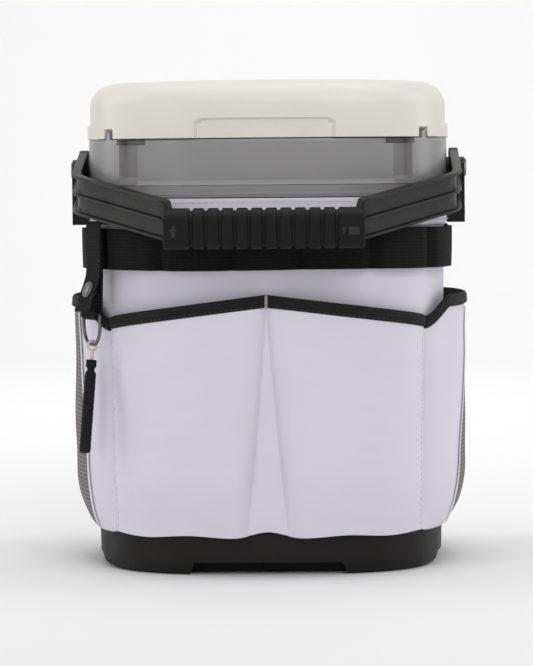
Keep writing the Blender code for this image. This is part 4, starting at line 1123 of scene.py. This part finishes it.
def wire(name, pts, radius, closed=True, res=4):
    c = bpy.data.curves.new(name, "CURVE")
    c.dimensions = "3D"
    c.bevel_depth = radius
    c.bevel_resolution = res
    c.use_fill_caps = True
    s = c.splines.new("POLY")
    s.points.add(len(pts) - 1)
    for p, q in zip(s.points, pts):
        p.co = (*q, 1)
    s.use_cyclic_u = closed
    tmp = bpy.data.objects.new(name, c)
    bpy.context.scene.collection.objects.link(tmp)
    bpy.context.view_layer.update()
    mesh = bpy.data.meshes.new_from_object(tmp.evaluated_get(bpy.context.evaluated_depsgraph_get()))
    bpy.data.objects.remove(tmp)
    bm = bmesh.new()
    bm.from_mesh(mesh)
    bmesh.ops.remove_doubles(bm, verts=bm.verts, dist=1e-5)
    return finish_bm(name, bm, 50)


def turned(name, start, along, profile, sides=32, keep=40):
    z = along.normalized()
    x = z.orthogonal().normalized()
    y = z.cross(x)
    verts, faces = [], []
    for r, h in profile:
        for i in range(sides):
            t = 2 * math.pi * i / sides
            verts.append(start + z * h + (x * math.cos(t) + y * math.sin(t)) * r)
    for j in range(len(profile) - 1):
        for i in range(sides):
            k = (i + 1) % sides
            faces.append((j * sides + i, j * sides + k, (j + 1) * sides + k, (j + 1) * sides + i))
    faces.append(tuple(reversed(range(sides))))
    faces.append(tuple((len(profile) - 1) * sides + i for i in range(sides)))
    obj = obj_from(name, verts, faces, None, keep)
    face_outwards(obj)
    return obj


def make_strap():
    bar = RING_OUT
    bends = [RAD(a) for a in range(180, 361, 20)]
    turn = [(bar + 0.0030 * math.cos(a), RING_Z + 0.0030 * math.sin(a)) for a in bends]
    inner = smooth_path([(0.0105, WHIGH - 0.0005), (0.0105, 0.2220), (0.0106, 0.2130),
        (0.0110, 0.2010)], 8)
    inner += turn + [(bar + 0.0030, 0.1925), (bar + 0.0030, 0.1960)]
    done(strap_piece("strap_back", inner, 0.0216, 0.0011), "bucket", WEB, "webbing", "strap_inner")
    over = 0.0119
    outer = smooth_path([(0.0050, WHIGH + 0.0034), (0.0070, WHIGH + 0.0042),
        (over, WHIGH + 0.0018), (over + 0.0002, 0.2230),
                         (0.0140, 0.2130), (0.0188, 0.2010), (0.0200, 0.1960), (0.0226, 0.1912)], 8)
    done(strap_piece("strap_front", outer, 0.0214, 0.0011), "flap", WEB, "webbing", "strap_flap")
    for k, x in (("a", -0.0092), ("b", 0.0092)):
        pts = [at(o + 0.0006, z, x) for o, z in outer[22:]]
        st = stitches(f"strap_stitch_{k}", pts, [OUT] * len(pts), 0.0024, 0.0011, 0.0005, 0.0003)
        done(st, "flap", DARK_THREAD, "webbing")
    a, b = at(0.0140, 0.2130), at(0.0188, 0.2010)
    face = ACROSS.cross(b - a).normalized()
    face = face if face.dot(OUT) > 0 else -face
    cap_profile = [(0.0062, 0), (0.0063, 0.0003), (0.0060, 0.0008), (0.0050, 0.0013),
        (0.0044, 0.0015), (0.0040, 0.0013),
                   (0.0034, 0.0012), (0.0020, 0.0015), (0.0004, 0.0016)]
    cap = turned("snap_button", (a + b) / 2 + face * 0.0009, face, cap_profile)
    done(cap, "flap", STEEL, "dark_steel", "snap_cap")

    corner = 0.0024
    pts = []
    for i in range(41):
        t = math.pi * i / 40
        x = (RW - 0.0004) * math.copysign(abs(math.cos(t)) ** 0.75, math.cos(t))
        pts.append((x, -corner - (RING_DROP - corner) * math.sin(t) ** 0.85))
    pts += [(-RW + 0.0010, -0.0006), (-RW + corner, 0), (RW - corner, 0), (RW - 0.0010, -0.0006)]
    ring = wire("d_ring", [at(RING_OUT, RING_Z + z, x) for x, z in pts], 0.0013)
    done(ring, "ring", STEEL, "dark_steel", "strap_ring")

    hang = at(RING_OUT, RING_Z - RING_DROP)
    drop = 0.0036 - 0.0009 - 0.0013 - 0.0004
    centre = hang - Vector((0, 0, drop))
    loop = [centre + (OUT * math.cos(t) + Vector((0, 0,
        1)) * math.sin(t)) * 0.0036 for t in span(0, 2 * math.pi, 29)[:-1]]
    eye = wire("toggle_loop", loop, 0.0009)
    done(eye, "toggle", LINK, "link_nylon", "toggle_eye")
    down = Matrix.Rotation(RAD(5.5), 3, ACROSS) @ Vector((0, 0, -1))
    if down.dot(OUT) < 0:
        down = Matrix.Rotation(-RAD(5.5), 3, ACROSS) @ Vector((0, 0, -1))
    top = hang - Vector((0, 0, drop + 0.0036))
    stem = turned("toggle_stem", top - down * 0.0006, down,
        [(0.0010, 0), (0.0014, 0.0006), (0.0013, 0.0060), (0.0011, 0.0070)], 20)
    done(stem, "toggle", LINK, "link_nylon")
    prof = [(0.0006, 0), (0.0030, 0.0001), (0.0037, 0.0004), (0.0039, 0.0010), (0.0039, 0.0050),
        (0.0035, 0.0058), (0.0028, 0.0063),
            (0.0027, 0.0070), (0.0027, 0.0080), (0.0031, 0.0088), (0.0038, 0.0096), (0.0040, 0.0104)]
    for i in range(11):
        s = 0.0135 + 0.0047 * i
        prof += [(0.0042, s), (0.0040, s + 0.0006), (0.0040, s + 0.0011), (0.0042, s + 0.0017)]
    prof += [(0.0043, 0.0655), (0.0041, 0.0670), (0.0034, 0.0682), (0.0020, 0.0686), (0.0004, 0.0686)]
    bar_obj = turned("toggle_bar", top + down * 0.0065, down, prof)
    done(bar_obj, "toggle", GRIP, "grip_rubber", "tape_toggle")


# ---- Studio ----
def make_studio():
    bm = bmesh.new()
    prof = [(-6.0, 0.0), (2.2, 0.0)]
    prof += [(2.2 + 1.6 * math.sin(RAD(a)), 1.6 - 1.6 * math.cos(RAD(a))) for a in range(6, 91,
        6)] + [(3.8, 6.0)]
    rows = [[bm.verts.new((x, y, z - 0.0002)) for x in (-7, 7)] for y, z in prof]
    for a, b in zip(rows, rows[1:]):
        bm.faces.new((a[0], a[1], b[1], b[0]))
    sweep = finish_bm("studio_sweep", bm, 180)
    k = Look("studio_paper", (0.86, 0.86, 0.86), 0.9, spec=0.1)
    k.colour_by(k.span(k.noise(2.0), 0, 1), (0.855, 0.855, 0.855), (0.865, 0.865, 0.865))
    sweep.data.materials.append(k.m)
    world = bpy.data.worlds.new("studio_world")
    bpy.context.scene.world = world
    world.use_nodes = True
    world.node_tree.nodes["Background"].inputs[0].default_value = (1, 1, 1, 1)
    world.node_tree.nodes["Background"].inputs[1].default_value = 0.41

    def area(name, loc, aim, size, power, colour=(1, 1, 1)):
        light = bpy.data.lights.new(name, "AREA")
        light.shape = "RECTANGLE"
        light.size, light.size_y = size
        light.energy = power
        light.color = colour
        obj = bpy.data.objects.new(name, light)
        obj.location = loc
        obj.rotation_euler = (Vector(aim) - Vector(loc)).to_track_quat("-Z", "Y").to_euler()
        bpy.context.scene.collection.objects.link(obj)

    area("key", (0.9, -2.6, 1.9), (0, 0, 0.18), (1.6, 1.4), 25)
    area("fill", (-1.6, -2.2, 0.9), (0, 0, 0.18), (1.2, 1.4), 9.5)
    area("top", (0.0, 0.1, 2.6), (0, 0, 0.2), (2.2, 2.2), 24)
    area("edge_left", (-1.9, 0.5, 0.8), (0, 0, 0.18), (0.6, 1.6), 8.5)
    area("edge_right", (1.9, 0.5, 0.8), (0, 0, 0.18), (0.6, 1.6), 8.5)
    area("wall", (0, 1.4, 2.6), (0, 3.6, 1.0), (3.0, 1.0), 42)

    cam = bpy.data.cameras.new("camera")
    cam.lens = 163.6
    cam.sensor_width = 36
    cam.sensor_fit = "AUTO"
    obj = bpy.data.objects.new("camera", cam)
    bpy.context.scene.collection.objects.link(obj)
    cam.shift_x = -0.0053
    turn = Matrix.Rotation(RAD(1.2), 4, "Z")
    tip = Matrix.Rotation(RAD(90 - 3.18), 4, "X") @ Matrix.Rotation(RAD(-0.5), 4, "Z")
    obj.matrix_world = turn @ Matrix.Translation((0, -2.3, 0.297)) @ tip
    bpy.context.scene.camera = obj
    bpy.context.scene.view_settings.view_transform = "Standard"


make_studio()
make_boot()
make_sleeve()
make_collar()
make_lid()
make_bail()
make_grip()
make_webbing()
make_pockets()
make_strap()
